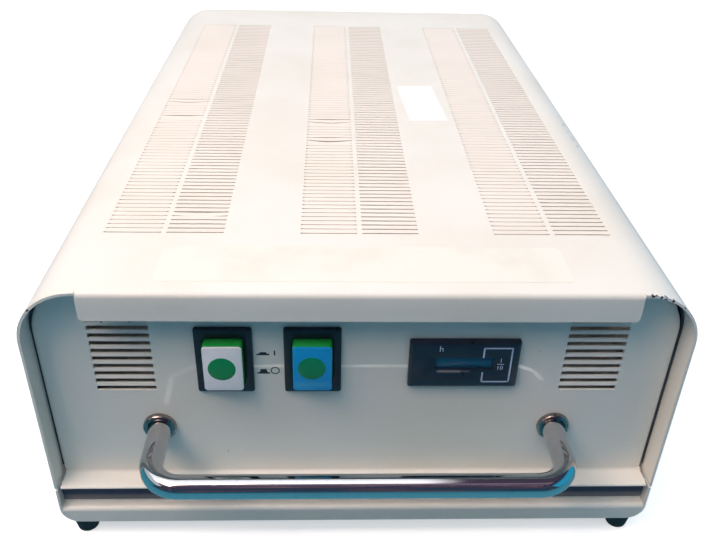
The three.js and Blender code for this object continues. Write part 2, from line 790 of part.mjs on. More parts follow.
function switchBody(x) {
  const body = block(
    about(x, 2 * switchHalfWidth),
    [switchFront, switchFront + switchDepth],
    about(buttonZ, 2 * switchHalfHeight),
  );
  const capRoom = block(
    about(x, capWidth + 2 * (capFlange + capSlack)),
    [switchFront - overrun, capRoomDepth],
    about(buttonZ, capHeight + 2 * (capFlange + capSlack)),
  );
  const stemRoomEnd = capFlangeY[1] + capStemLength + buttonTravel + capSlack;
  const stemSize = capStemSize + 2 * capSlack;
  const stemRoom = block(about(x, stemSize), [capRoomDepth - overrun, stemRoomEnd], about(buttonZ, stemSize));
  const back = switchFront + switchDepth;
  const tab = (z) =>
    block(
      about(x, switchTabWidth),
      [back - switchTabLength, back + switchTabLength],
      about(z, switchTabThickness),
    );
  const tabs = about(buttonZ, switchTabSpacing).map(tab);
  return join(cut(body, capRoom, stemRoom), ...tabs);
}

for (const [word, x] of [
  ["white", whiteBezelX],
  ["blue", blueBezelX],
]) {
  place(housing, `${word}_button_bezel`, buttonBezel(x), blackPlastic);
  place(housing, `${word}_switch_body`, switchBody(x), blackPlastic);
  place(housing, `${word}_button_cap`, buttonCap(x), greenPlastic);
  place(housing, `${word}_cap_face`, capFace(x), capFaces[word]);
}

// Hour meter: a flanged case with a window, and number drums on a shaft behind it
const lensFront = -meterProud + meterWall + running;
const drumY = lensFront + meterLensThickness + seat + drumRadius;
const drumPitch = meterWindowWidth / drumNames.length;
const drumRoom = drumRadius + seat;

function meterCase() {
  const flange = block(about(meterX, meterWidth), [-meterProud, -seat], about(meterZ, meterHeight));
  const body = block(
    about(meterX, 2 * meterBodyHalfWidth),
    [-seat - meterWall, meterBodyDepth],
    about(meterZ, 2 * meterBodyHalfHeight),
  );
  const opening = block(
    about(meterX, meterWindowWidth),
    [-meterProud - overrun, overrun],
    about(meterWindowZ, meterWindowHeight),
  );
  const room = block(
    about(meterX, meterWindowWidth + 2 * meterLensLap),
    [-meterProud + meterWall, drumY + drumRoom],
    about(meterWindowZ, 2 * drumRoom),
  );
  return cut(join(flange, body), opening, room);
}

function meterLens() {
  const height = meterWindowHeight + 2 * meterLensLap;
  const width = meterWindowWidth + 2 * (meterLensLap - seat);
  const depth = [lensFront, lensFront + meterLensThickness];
  return block(about(meterX, width), depth, about(meterWindowZ, height));
}

// One drum: a rim and a hub on a web that stops short of one end, turned about the shaft
function numberDrum(index) {
  const half = (drumPitch - drumGap) / 2;
  const bore = drumShaftRadius + running;
  const web = drumWebThickness - half;
  const rim = drumRadius - drumRimWidth;
  const profile = [
    [bore, -half],
    [drumRadius, -half],
    [drumRadius, half],
    [rim, half],
    [rim, web],
    [drumHubRadius, web],
    [drumHubRadius, half],
    [bore, half],
    [bore, -half],
  ].map(([radius, along]) => new THREE.Vector2(radius, along));
  const x = meterX + (index - (drumNames.length - 1) / 2) * drumPitch;
  const drum = new THREE.LatheGeometry(profile, roundFacets).rotateZ(-Math.PI / 2);
  return drum.translate(x, drumY, meterWindowZ);
}

place(housing, "meter_case", meterCase(), meterPlastic);
place(housing, "meter_lens", meterLens(), smokedWindow);
const shaftSpan = about(meterX, meterWindowWidth + 2 * (meterLensLap - seat));
place(housing, "drum_shaft", rodX(drumShaftRadius, shaftSpan, drumY, meterWindowZ), steel);
drumNames.forEach((name, i) => place(housing, `drum_${name}`, numberDrum(i), drumPlastic));

// Handle: one bent tube held by a screw from behind the panel at each end, with a collar at each foot.
// Its line counts one step for each leg, handleBendSteps for each bend and one for the bar.
class HandleLine extends THREE.Curve {
  getUtoTmapping(u) {
    return u;
  }
  getPoint(t, target = new THREE.Vector3()) {
    const leg = handleReach - handleBend;
    const corner = handleHalf - handleBend;
    const way = Math.sign(2 * t - 1);
    const fromMiddle = Math.abs(2 * t - 1) * (handleBendSteps + 1.5); // in steps
    const bent = THREE.MathUtils.clamp((fromMiddle - 0.5) / handleBendSteps, 0, 1) * (Math.PI / 2);
    const alongBar = corner * Math.min(2 * fromMiddle, 1);
    const alongLeg = (leg - seat) * Math.max(fromMiddle - handleBendSteps - 0.5, 0);
    const x = way * (alongBar + handleBend * Math.sin(bent));
    return target.set(x, -leg - handleBend * Math.cos(bent) + alongLeg, handleZ);
  }
}

function handleTube() {
  const section = new THREE.Shape().absarc(0, 0, handleRadius, 0, 2 * Math.PI, false);
  const tube = new THREE.ExtrudeGeometry(section, {
    extrudePath: new HandleLine(),
    steps: 2 * handleBendSteps + 3,
    curveSegments: handleFacets,
    bevelEnabled: false,
  });
  const bores = sides.map(([, side]) =>
    rodY(handleScrewRadius + seat, [-handleScrewBite - seat, overrun], side * handleHalf, handleZ),
  );
  return cut(tube, ...bores);
}

function handleCollar(side) {
  const x = side * handleHalf;
  const ring = rodY(collarRadius, [-seat - collarThickness, -seat], x, handleZ, roundFacets);
  return cut(ring, rodY(collarInnerRadius, [-collarThickness - overrun, overrun], x, handleZ, roundFacets));
}

function handleScrew(side) {
  const x = side * handleHalf;
  const headY = [sheet + seat, sheet + seat + handleScrewHead];
  return join(
    rodY(handleScrewRadius, [-handleScrewBite, headY[1]], x, handleZ),
    rodY(handleScrewHeadRadius, headY, x, handleZ),
  );
}

place(housing, "handle", handleTube(), chrome);
for (const [word, side] of sides) {
  place(housing, `handle_collar_${word}`, handleCollar(side), chrome);
  place(housing, `handle_screw_${word}`, handleScrew(side), steel);
}

// Mains inlet: a flanged socket with three pins, and a fuse drawer under it
const socketZ = inletZ + socketRise;
const drawerZ = inletZ - drawerDropFromInlet;
const inletFace = rearEdge + seat + inletFlangeThickness;

function mainsInlet() {
  const bodyHeight = inletFlangeHeight - 2 * inletFlangeThickness;
  const flange = block(
    about(inletX, inletFlangeWidth),
    [rearEdge + seat, inletFace],
    about(inletZ, inletFlangeHeight),
  );
  const bodyY = [rearEdge - inletBodyDepth, inletFace];
  const body = block(about(inletX, inletBodyWidth), bodyY, about(inletZ, bodyHeight));
  const half = socketWidth / 2;
  const rise = socketHeight / 2;
  const socket = polygon([
    [inletX - half, socketZ - rise],
    [inletX + half, socketZ - rise],
    [inletX + half, socketZ + rise - socketChamfer],
    [inletX + half - socketChamfer, socketZ + rise],
    [inletX - half + socketChamfer, socketZ + rise],
    [inletX - half, socketZ + rise - socketChamfer],
  ]);
  const socketBack = inletFace - socketDepth;
  const drawerRoom = block(
    about(inletX, drawerWidth + 2 * drawerSlack),
    [inletFace - drawerDepth - drawerSlack, inletFace + overrun],
    about(drawerZ, drawerHeight + 2 * drawerSlack),
  );
  const hollowed = cut(join(flange, body), alongY(socket, socketBack, inletFace + overrun), drawerRoom);
  const pinY = [socketBack - inletPinThickness, socketBack + inletPinLength];
  const pin = (x, z) => block(about(x, inletPinThickness), pinY, about(z, inletPinWidth));
  return join(
    hollowed,
    pin(inletX - inletPinSpacing / 2, socketZ - inletPinDrop),
    pin(inletX + inletPinSpacing / 2, socketZ - inletPinDrop),
    pin(inletX, socketZ + inletEarthRise),
  );
}

function fuseDrawer() {
  const low = drawerZ - drawerHeight / 2;
  const bodyY = [inletFace - drawerDepth, inletFace];
  const body = block(about(inletX, drawerWidth), bodyY, about(drawerZ, drawerHeight));
  const lip = block(about(inletX, drawerWidth / 2), about(inletFace, 2 * drawerLip), [low, low + drawerLip]);
  const well = block(
    about(inletX, drawerWidth - 2 * drawerWall),
    about(inletFace - drawerDepth / 2 - drawerWall, drawerWellLength),
    [low + drawerWall, drawerZ + drawerHeight],
  );
  return join(cut(body, well), lip);
}

place(housing, "mains_inlet", mainsInlet(), blackPlastic);
place(housing, "fuse_drawer", fuseDrawer(), blackPlastic);

// The whole stands centred under its own box, feet on Z = 0
const frontmost = -handleReach - handleRadius;
const rearmost = inletFace + drawerLip;
root.position.y = -(frontmost + rearmost) / 2;

export default root;
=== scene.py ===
import math

import bmesh
import bpy
import numpy as np
from mathutils import Matrix, Vector


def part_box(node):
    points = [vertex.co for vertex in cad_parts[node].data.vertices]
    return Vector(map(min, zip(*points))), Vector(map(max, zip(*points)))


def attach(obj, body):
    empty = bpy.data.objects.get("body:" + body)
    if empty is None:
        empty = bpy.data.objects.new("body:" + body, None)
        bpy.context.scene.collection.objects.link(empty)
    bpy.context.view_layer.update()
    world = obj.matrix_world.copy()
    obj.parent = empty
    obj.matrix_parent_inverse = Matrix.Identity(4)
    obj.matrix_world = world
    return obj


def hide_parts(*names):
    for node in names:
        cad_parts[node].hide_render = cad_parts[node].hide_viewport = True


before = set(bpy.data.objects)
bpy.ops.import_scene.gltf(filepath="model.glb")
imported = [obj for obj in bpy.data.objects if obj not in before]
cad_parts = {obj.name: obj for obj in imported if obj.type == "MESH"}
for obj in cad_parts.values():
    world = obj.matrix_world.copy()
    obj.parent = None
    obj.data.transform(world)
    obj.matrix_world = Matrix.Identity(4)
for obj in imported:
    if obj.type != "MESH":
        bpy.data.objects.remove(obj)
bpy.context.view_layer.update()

# A phototherapy light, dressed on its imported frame. Shapes are worked out in millimetres:
# X across, Y from front to back, Z up from the floor under the feet.

mm = 0.001


def nodeBox(name):
    low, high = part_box(name)
    return np.array(low) / mm, np.array(high) / mm


def nodeMiddle(name):
    return sum(nodeBox(name)) / 2


def newMesh(name, points, faces):
    mesh = bpy.data.meshes.new(name)
    mesh.from_pydata(points, [], faces)
    return mesh


def newObject(name, data):
    made = bpy.data.objects.new(name, data)
    bpy.context.scene.collection.objects.link(made)
    return made


# Camera: where the photograph was taken from, and how it was held
view = {
    "place": (-0.01395, -0.465845, 0.31723),
    "turn": -2.43,  # degrees from +Y, to the left when positive
    "down": 32.27,
    "roll": 1.56,
    "lens": 40.27,
}


def placeCamera():
    camera = newObject("camera", bpy.data.cameras.new("camera"))
    down, roll = math.radians(view["down"]), math.radians(view["roll"])
    right, ahead = Vector((1, 0, 0)), Vector((0, math.cos(down), -math.sin(down)))
    upward = Vector((0, math.sin(down), math.cos(down)))
    rolledRight = math.cos(roll) * right + math.sin(roll) * upward
    rolledUp = math.cos(roll) * upward - math.sin(roll) * right
    axes = Matrix((rolledRight, rolledUp, -ahead)).transposed()
    turn = Matrix.Rotation(math.radians(view["turn"]), 3, "Z")
    camera.matrix_world = Matrix.Translation(view["place"]) @ (turn @ axes).to_4x4()
    camera.data.lens = view["lens"]
    camera.data.clip_start = 0.01
    bpy.context.scene.camera = camera


placeCamera()
print("camera placed")


# Shader sums: a Wire is one output socket, and arithmetic on it adds Math nodes
class Wire:
    def __init__(self, graph, socket):
        self.graph = graph
        self.socket = socket

    def math(self, operation, *operands):
        return self.graph.add("Math", dict(enumerate(operands)), operation=operation)

    def __add__(self, other):
        return self.math("ADD", self, other)

    def __radd__(self, other):
        return self.math("ADD", other, self)

    def __sub__(self, other):
        return self.math("SUBTRACT", self, other)

    def __rsub__(self, other):
        return self.math("SUBTRACT", other, self)

    def __mul__(self, other):
        return self.math("MULTIPLY", self, other)

    def __rmul__(self, other):
        return self.math("MULTIPLY", other, self)

    def __abs__(self):
        return self.math("ABSOLUTE", self)

    # low..high onto 0..1 with soft ends, or onto start..end
    def ramp(self, low, high, start=0.0, end=1.0):
        inputs = {"Value": self, "From Min": low, "From Max": high, "To Min": start, "To Max": end}
        return self.graph.add("MapRange", inputs, interpolation_type="SMOOTHSTEP")


# A colour as the screen shows it, 0 to 255, as linear light
def srgb(red, green, blue):
    shown = np.array([red, green, blue]) / 255
    linear = np.where(shown <= 0.04045, shown / 12.92, ((shown + 0.055) / 1.055) ** 2.4)
    return (*linear.tolist(), 1.0)


# A node tree under construction. Kinds are the node types without their common beginning.
class Graph:
    def __init__(self, owner):
        owner.use_nodes = True
        self.owner = owner
        self.tree = owner.node_tree
        self.tree.nodes.clear()

    # settings first, then a colour ramp's stops as (position, colour), then values or links by socket
    def add(self, kind, inputs=None, output=0, stops=(), **settings):
        node = self.tree.nodes.new("ShaderNode" + kind)
        for key, value in settings.items():
            setattr(node, key, value)
        if stops:
            elements = node.color_ramp.elements
            while len(elements) < len(stops):
                elements.new(0.5)
            for element, (position, shade) in zip(elements, stops):
                element.position, element.color = position, (*shade, 1)
        for key, value in (inputs or {}).items():
            if isinstance(value, Wire):
                self.tree.links.new(value.socket, node.inputs[key])
            else:
                node.inputs[key].default_value = value
        return Wire(self, node.outputs[output])

    def place(self):
        return self.add("TexCoord", output=3)

    def axes(self, place=None):
        place = place or self.place()
        return [self.add("SeparateXYZ", {0: place}, output) for output in range(3)]

    # blotches of about the given size in millimetres
    def noise(self, size, detail=3.0, stretch=(1, 1, 1), shift=(0, 0, 0)):
        mapped = self.add("Mapping", {"Vector": self.place(), "Scale": stretch, "Location": shift})
        return self.add("TexNoise", {"Vector": mapped, "Scale": 1 / (size * mm), "Detail": detail,
                                     "Roughness": 0.55})

    def mix(self, factor, first, second):
        return self.add("Mix", {0: factor, 6: first, 7: second}, 2, data_type="RGBA")

    def bump(self, height, strength, distance):
        return self.add("Bump", {"Height": height, "Strength": strength, "Distance": distance * mm})

    # distance in millimetres from a point of the object
    def distance(self, point):
        inputs = {0: self.place(), 1: [value * mm for value in point]}
        return self.add("VectorMath", inputs, 1, operation="DISTANCE") * (1 / mm)

    # soft-edged stroke on a face that looks to the front, from one (x, z) to another in millimetres
    def stroke(self, start, finish, half):
        x, _, z = self.axes()
        length = math.dist(start, finish)
        across, up = [(b - a) / length for a, b in zip(start, finish)]
        x, z = x * (1 / mm) - start[0], z * (1 / mm) - start[1]
        along = x * across + z * up
        aside = abs(z * across - x * up)
        ends = along.ramp(-half, half) * along.ramp(length - half, length + half, 1.0, 0.0)
        return aside.ramp(half * 0.3, half * 1.4, 1.0, 0.0) * ends

    # the greater of what there is so far and one more
    def most(self, sofar, other):
        return other if sofar is None else other.math("MAXIMUM", sofar, other)

    def end(self, shader, kind="Material"):
        output = self.tree.nodes.new("ShaderNodeOutput" + kind)
        self.tree.links.new(shader.socket, output.inputs["Surface"])

    def principled(self, sockets):
        self.end(self.add("BsdfPrincipled", sockets))
        return self.owner


def newMaterial(name):
    return Graph(bpy.data.materials.new(name))


# Paint: cream baked enamel with a faint orange peel, handling marks and chips at its edges, and optional
# glowing strokes of painted light
paintLook = {
    "cream": srgb(243, 239, 230),
    "worn": srgb(232, 224, 208),
    "primer": srgb(250, 250, 250),
    "bareSteel": srgb(70, 56, 48),
    "bareFrom": 0.46,  # of a chip's noise: above this the primer is gone too
    "peel": 1.6,  # width of one dimple
    "blotch": 70,
    # emission colour of the painted light strokes
    "gleam": (0.34, 0.32, 0.30, 1),
}


def paint(name, chips=(), paintedGleams=(), tint=None):
    graph = newMaterial(name)
    blotch = graph.noise(paintLook["blotch"], 4)
    fleck = graph.noise(0.9, 2, shift=(3, 1, 2))
    tone = (blotch * 0.75 + fleck * 0.25).ramp(0.35, 0.72)
    colour = graph.mix(tone * 0.55, tint or paintLook["cream"], paintLook["worn"])
    scuff = graph.noise(2.6, 6, stretch=(0.12, 1, 1), shift=(1, 7, 4)).ramp(0.67, 0.8)
    colour = graph.mix(scuff * 0.18, colour, paintLook["primer"])
    rough = 0.36 + blotch * 0.12 + scuff * 0.2
    height = graph.noise(paintLook["peel"], 1.5)
    flaked = None
    for centre, radius in chips:
        ragged = graph.distance(centre) + graph.noise(1.7, 5, shift=(2, 3, 5)) * 2.4 - 1.2
        flaked = graph.most(flaked, 1 - ragged.ramp(radius - 0.2, radius))
    if flaked:
        bareFrom = paintLook["bareFrom"]
        bare = graph.noise(1.1, 3, shift=(8, 8, 1)).ramp(bareFrom, bareFrom + 0.04)
        colour = graph.mix(flaked, colour, graph.mix(bare, paintLook["primer"], paintLook["bareSteel"]))
        rough = rough + flaked * 0.25
        height = height - flaked * 1.5
    normal = graph.bump(height, 0.12, 0.1)
    sockets = {"Base Color": colour, "Roughness": rough, "Normal": normal, "IOR": 1.47}
    lit = None
    # painted light: strokes that glow by emission where light would fall on the surface
    for start, finish, half, strength in paintedGleams:
        uneven = graph.noise(16, 3, shift=(2, 2, 9)).ramp(0.3, 0.7, 0.35, 1.0)
        lit = graph.most(lit, graph.stroke(start, finish, half) * uneven * strength)
    if lit:
        sockets["Emission Color"] = graph.mix(lit, (0, 0, 0, 1), paintLook["gleam"])
        sockets["Emission Strength"] = 1.0
    return graph.principled(sockets)


# Plastic: one colour with a fine spark-eroded grain and rubbed, shinier patches, and optional lighter
# strokes of painted highlight
def plastic(name, colour, rubbed, rough=0.38, grain=0.45, sink=0.0, paintedGleams=()):
    graph = newMaterial(name)
    patch = graph.noise(11, 4)
    fine = graph.noise(grain, 2, shift=(1, 5, 2))
    shade = graph.mix((patch * 0.7 + fine * 0.3).ramp(0.38, 0.7), colour, rubbed)
    # painted highlight: each stroke lightens the colour towards its given lighter shade
    for start, finish, half, strength, gleam in paintedGleams:
        shade = graph.mix(graph.stroke(start, finish, half) * strength, shade, gleam)
    return graph.principled({
        "Base Color": shade, "Roughness": rough + patch * 0.14 - 0.07,
        "Normal": graph.bump(fine, 0.18, 0.06), "Subsurface Weight": sink,
        "Subsurface Radius": (0.3 * mm, 2.2 * mm, 0.5 * mm), "Subsurface Scale": 1.0})


# Bare metal: a rolled or plated surface with fine scratches along one direction
def metal(name, colour, stained, rough, spangle=0.0):
    graph = newMaterial(name)
    lines = graph.noise(0.5, 3, stretch=(1, 0.05, 1))
    tone = graph.noise(14, 5, shift=(4, 2, 6)).ramp(0.42, 0.72)
    shade = rough + lines * 0.06 + tone * 0.05
    if spangle:
        cells = {"Vector": graph.place(), "Scale": 1 / (spangle * mm)}
        shine = graph.axes(graph.add("TexVoronoi", cells, 1, feature="F1"))[0]
        tone = tone * 0.5 + shine * 0.5
        shade = shade + shine * 0.16
    return graph.principled({"Base Color": graph.mix(tone, colour, stained), "Roughness": shade,
                             "Metallic": 1.0, "Normal": graph.bump(lines, 0.05, 0.05)})


# Chrome: mirror plating with hairline scratches, a little haze of fingerprints and brown stain spots; on the
# collars' darker copy these spots are painted shade as well
def chromePlate(name, bright, stained, stainsAndShade):
    graph = newMaterial(name)
    hair = graph.noise(0.35, 2, stretch=(0.06, 1, 1)).ramp(0.62, 0.74)
    haze = graph.noise(9, 4, shift=(5, 5, 1)).ramp(0.5, 0.78)
    spots = graph.noise(2.2, 4, shift=(7, 1, 3)).ramp(0.56, 0.66)
    colour = graph.mix(haze * 0.5, bright, srgb(190, 188, 188))
    return graph.principled({
        "Base Color": graph.mix(spots * stainsAndShade, colour, stained),
        "Roughness": 0.045 + hair * 0.14 + haze * 0.05 + spots * (stainsAndShade * 0.2),
        "Metallic": 1.0, "Normal": graph.bump(hair, 0.05, 0.02)})


# Clear acrylic sheet, faintly wavy and smeared
def clearSheet(name, tint, smeared, rough, weight):
    graph = newMaterial(name)
    smear = graph.noise(24, 5).ramp(0.45, 0.75)
    return graph.principled({
        "Base Color": graph.mix(smear, tint, smeared), "Roughness": rough + smear * 0.08,
        "Transmission Weight": weight, "IOR": 1.49, "Normal": graph.bump(graph.noise(60, 2), 0.06, 0.4)})


# White fluorescent coating, darker towards the base where the cathodes have sputtered
def lampPhosphor(name, colour, end):
    graph = newMaterial(name)
    baseX = nodeBox("lamp_holder_1")[0][0] * mm
    aged = graph.axes()[0].ramp(baseX - 60 * mm, baseX - 22 * mm) * 0.6
    mottle = graph.noise(5, 3)
    return graph.principled({"Base Color": graph.mix(aged + mottle * 0.12, colour, end),
                             "Roughness": 0.16 + mottle * 0.06, "Coat Weight": 0.6, "Coat Roughness": 0.05})


# Label stock: thin film or paper, smoother than the paint, yellowed in clouds and lightly wrinkled
def labelStock(name, colour, aged, rough):
    graph = newMaterial(name)
    cloud = graph.noise(26, 3)
    crease = graph.noise(13, 2, shift=(6, 1, 3))
    return graph.principled({"Base Color": graph.mix(cloud.ramp(0.4, 0.68), colour, aged),
                             "Roughness": rough + cloud * 0.08, "Normal": graph.bump(crease, 0.1, 0.25)})


# Main measures that several pieces share
sheet = 1.2
coverLow, coverHigh = nodeBox("top_cover")
halfWidth, top = coverHigh[0], coverHigh[2]
panelY = nodeBox("front_panel")[1][1] - sheet

# Finishes, by the names that the pieces use
looks = {
    "cover": paint("coverPaint", chips=[
        *(((x, coverLow[1], z), radius) for x, z, radius in (
            (117.0, 141.0, 1.5), (121.5, 140.3, 1.9), (126.0, 138.6, 1.2), (131.0, 135.2, 0.9),
            (-133.0, 133.0, 0.8))),
        *(((127.5, y, 137.9), radius) for y, radius in (
            (-46.0, 1.1), (-37.0, 1.0), (-33.0, 1.2), (-25.0, 0.9), (-14.0, 0.9), (-8.0, 1.2),
            (-2.0, 1.0))),
    ]),
    # painted light: the blades are the cover's own sheet; this warmer, peach copy of its cream stands in for
    # the glow between the slits
    "blade": paint("bladeWarmLitPaint", tint=srgb(246, 236, 225)),
    # painted light: a glowing line where the handle's light would fall on the panel, turning down at both
    # ends
    "panel": paint("panelPaint", chips=[
        ((x, panelY, top + z), radius) for x, z, radius in (
            (-113.5, -20.2, 0.8), (-108.5, -20.8, 0.7), (-101.0, -20.4, 0.8), (-96.5, -21.0, 0.7),
            (-112.6, -24.4, 0.8), (-110.2, -27.9, 0.7), (-113.4, -32.3, 0.6), (-98.0, -24.8, 0.5),
            (78.0, -36.0, 0.4), (-60.0, -95.0, 0.4))
    ], paintedGleams=[
        ((x0, top + z0), (x1, top + z1), half, strength) for x0, z0, x1, z1, half, strength in (
            (-71, -44.3, 71, -44.3, 0.9, 0.5), (70, -44.3, 77, -47.2, 1.0, 0.75),
            (76.5, -47.0, 81.5, -52.2, 1.0, 0.75), (-82, -50, -71, -44.3, 1.2, 0.3),
            (-86, -66, -82, -50, 1.4, 0.3))
    ]),
    "frame": paint("framePaint"),
    "zinc": metal("zincSheet", srgb(176, 180, 183), srgb(146, 150, 154), 0.34, spangle=9),
    "mirror": metal("brightAluminium", srgb(226, 229, 232), srgb(206, 210, 214), 0.08),
    "steel": metal("plainSteel", srgb(150, 152, 155), srgb(112, 108, 104), 0.3),
    "black": plastic("blackPlastic", srgb(24, 30, 42), srgb(34, 42, 56), 0.34),
    "green": plastic("greenPlastic", srgb(30, 158, 66), srgb(44, 172, 80), 0.25, sink=0.35),
    "greenSpot": plastic("greenSpot", srgb(0, 142, 78), srgb(10, 150, 86), 0.3),
    "tealSpot": plastic("tealSpot", srgb(0, 134, 82), srgb(8, 142, 92), 0.3),
    "white": plastic("whitePlastic", srgb(242, 243, 246), srgb(232, 233, 238), 0.36),
    # painted highlight: two lighter cyan strokes across the blue cap's face
    "blue": plastic("bluePlastic", srgb(0, 148, 214), srgb(16, 160, 224), 0.36, paintedGleams=[
        ((-28.0, top - 48.6), (-13.0, top - 48.6), 1.7, 0.42, srgb(76, 178, 208)),
        ((-27.0, top - 51.2), (-20.0, top - 51.2), 0.6, 0.35, srgb(76, 178, 208)),
    ]),
    # painted highlight: two lighter strokes across the case below the window
    "meter": plastic("meterPlastic", srgb(27, 36, 52), srgb(37, 48, 66), 0.3, paintedGleams=[
        ((33.5, top - 44.9), (43.5, top - 44.9), 0.7, 0.42, srgb(196, 182, 178)),
        ((43.0, top - 44.9), (47.5, top - 44.9), 0.5, 0.2, srgb(196, 182, 178)),
    ]),
    "holder": plastic("holderPlastic", srgb(232, 230, 222), srgb(216, 212, 200), 0.4),
    "drum": plastic("drumPlastic", srgb(28, 30, 34), srgb(36, 38, 42), 0.45),
    "rubber": plastic("footRubber", srgb(30, 30, 32), srgb(58, 56, 54), 0.75, grain=0.8),
    # painted shade: the groove strip's dark blue; the lighter stroke along its foot is painted light
    "shadeFoam": plastic("grooveShadeFoam", srgb(66, 74, 94), srgb(82, 86, 102), 0.9, grain=1.1, paintedGleams=[
        ((-139, 21.8), (139, 21.8), 2.4, 0.7, srgb(150, 138, 134)),
    ]),
    # painted shade: dark colour of the strip in the gap round the front panel
    "gapShade": plastic("gapShadeRubber", srgb(66, 76, 84), srgb(80, 88, 96), 0.85, grain=0.9),
    "print": plastic("whitePrint", srgb(205, 214, 236), srgb(188, 198, 224), 0.5),
    "ink": plastic("blackPrint", srgb(34, 34, 38), srgb(52, 52, 56), 0.5),
    "chrome": chromePlate("chromePlate", srgb(206, 205, 206), srgb(120, 96, 84), 0.08),
    # painted shade: a darker, browner copy of the chrome plate, standing in for the dark reflections in the
    # collars
    "collar": chromePlate("collarShadedChrome", srgb(150, 144, 142), srgb(84, 66, 58), 0.8),
    "pane": clearSheet("clearAcrylic", srgb(244, 249, 250), srgb(236, 240, 240), 0.02, 1.0),
    "smoked": clearSheet("smokedWindow", srgb(40, 118, 154), srgb(26, 92, 130), 0.08, 0.5),
    "lampBlue": lampPhosphor("blueLampGlass", srgb(214, 226, 242), srgb(120, 124, 134)),
    "lampWhite": lampPhosphor("whiteLampGlass", srgb(240, 240, 236), srgb(130, 126, 122)),
    "film": labelStock("labelFilm", srgb(244, 240, 228), srgb(238, 233, 220), 0.3),
    "paper": labelStock("paperLabel", srgb(252, 251, 247), srgb(247, 246, 243), 0.6),
}
print("materials mixed:", len(looks))


# Faces of a grid of points numbered row by row; a closed direction joins its last line to its first
def gridFaces(rows, cols, closeRows=False, closeCols=False):
    lines, places = np.arange(rows - (not closeRows)), np.arange(cols - (not closeCols))
    row, col = [grid.ravel() for grid in np.meshgrid(lines, places, indexing="ij")]
    nextRow, nextCol = (row + 1) % rows, (col + 1) % cols
    corners = [row * cols + col, row * cols + nextCol, nextRow * cols + nextCol, nextRow * cols + col]
    return np.stack(corners, 1).tolist()


# A sheet on a grid of points whose faces look along one direction on the whole, or away from a centre
def gridShell(points, facing=None, keep=None, centre=None):
    flat = points.reshape(-1, 3)
    faces = np.array(gridFaces(*points.shape[:2]))
    if keep is not None:
        faces = faces[keep.ravel()]
    corner = flat[faces]
    normals = np.cross(corner[:, 2] - corner[:, 0], corner[:, 3] - corner[:, 1])
    if centre is not None:
        facing = corner.mean(1) - centre
    if (normals * facing).sum() < 0:
        faces = faces[:, ::-1]
    return flat, faces.tolist()


# Points of a sheet from its lines of X, Y and Z, spread over one another
def gridPoints(x, y, z):
    return np.stack(np.broadcast_arrays(x, y, z), -1)


# Angles of a quarter turn
def quarter(steps, start=0.0):
    return np.linspace(start, start + math.pi / 2, steps + 1)


# Rings of points joined one to the next, with a cap on each end or the last joined to the first
def ringShell(rings, closed=False):
    rows, cols = rings.shape[:2]
    faces = gridFaces(rows, cols, closed, True)
    if not closed:
        faces += [list(range(cols))[::-1], list(range((rows - 1) * cols, rows * cols))]
    return rings.reshape(-1, 3), faces


# A rectangle with round corners, anticlockwise: each corner is a quarter circle of steps + 1 points
def roundedRect(halfWide, halfHigh, radius, steps):
    angles = (np.arange(4)[:, None] * math.pi / 2 + quarter(steps)).ravel()
    signs = np.repeat([[1, 1], [-1, 1], [-1, -1], [1, -1]], steps + 1, axis=0)
    corner = signs * np.array([halfWide - radius, halfHigh - radius])
    return corner + radius * np.stack([np.cos(angles), np.sin(angles)], 1)


# Rounded rectangles stacked in depth: stations of (inset from the half sizes, corner radius, depth)
def rectRings(half, stations, steps=4):
    rings = []
    for inset, radius, depth in stations:
        outline = roundedRect(half[0] - inset, half[1] - inset, radius, steps)
        rings.append(np.column_stack([outline, np.full(len(outline), depth)]))
    return np.array(rings)


# Round rings about an axis: stations of (radius, depth)
def roundRings(stations, steps=32):
    angles = np.arange(steps) * (2 * math.pi / steps)
    circle = np.stack([np.cos(angles), np.sin(angles), np.zeros(steps)], 1)
    scale = np.array([[radius, radius, 0] for radius, depth in stations])
    shift = np.array([[0, 0, depth] for radius, depth in stations])
    return circle[None] * scale[:, None] + shift[:, None]


# Local (u, v, depth) to the object: towards the front, towards the rear, up, or along X
def toFront(points, x, y, z):
    return np.stack([x + points[..., 0], y - points[..., 2], z + points[..., 1]], -1)


def toRear(points, x, y, z):
    return np.stack([x - points[..., 0], y + points[..., 2], z + points[..., 1]], -1)


def toTop(points, x, y, z):
    return np.stack([x + points[..., 0], y + points[..., 1], z + points[..., 2]], -1)


def toRight(points, x, y, z):
    return np.stack([x + points[..., 2], y + points[..., 0], z + points[..., 1]], -1)


# A stack of rounded rectangles or a turned form, set in its place as a closed shell
def stacked(half, stations, x, y, z, steps=4, place=toFront):
    return ringShell(place(rectRings(half, stations, steps), x, y, z))


def turned(stations, x, y, z, steps, place=toFront, closed=False):
    return ringShell(place(roundRings(stations, steps), x, y, z), closed)


# How shells become one mesh: distances in millimetres, angles in degrees
joining = {"weld": 0.002, "collapse": 0.001, "sharpFrom": 35, "bevelFrom": 40}


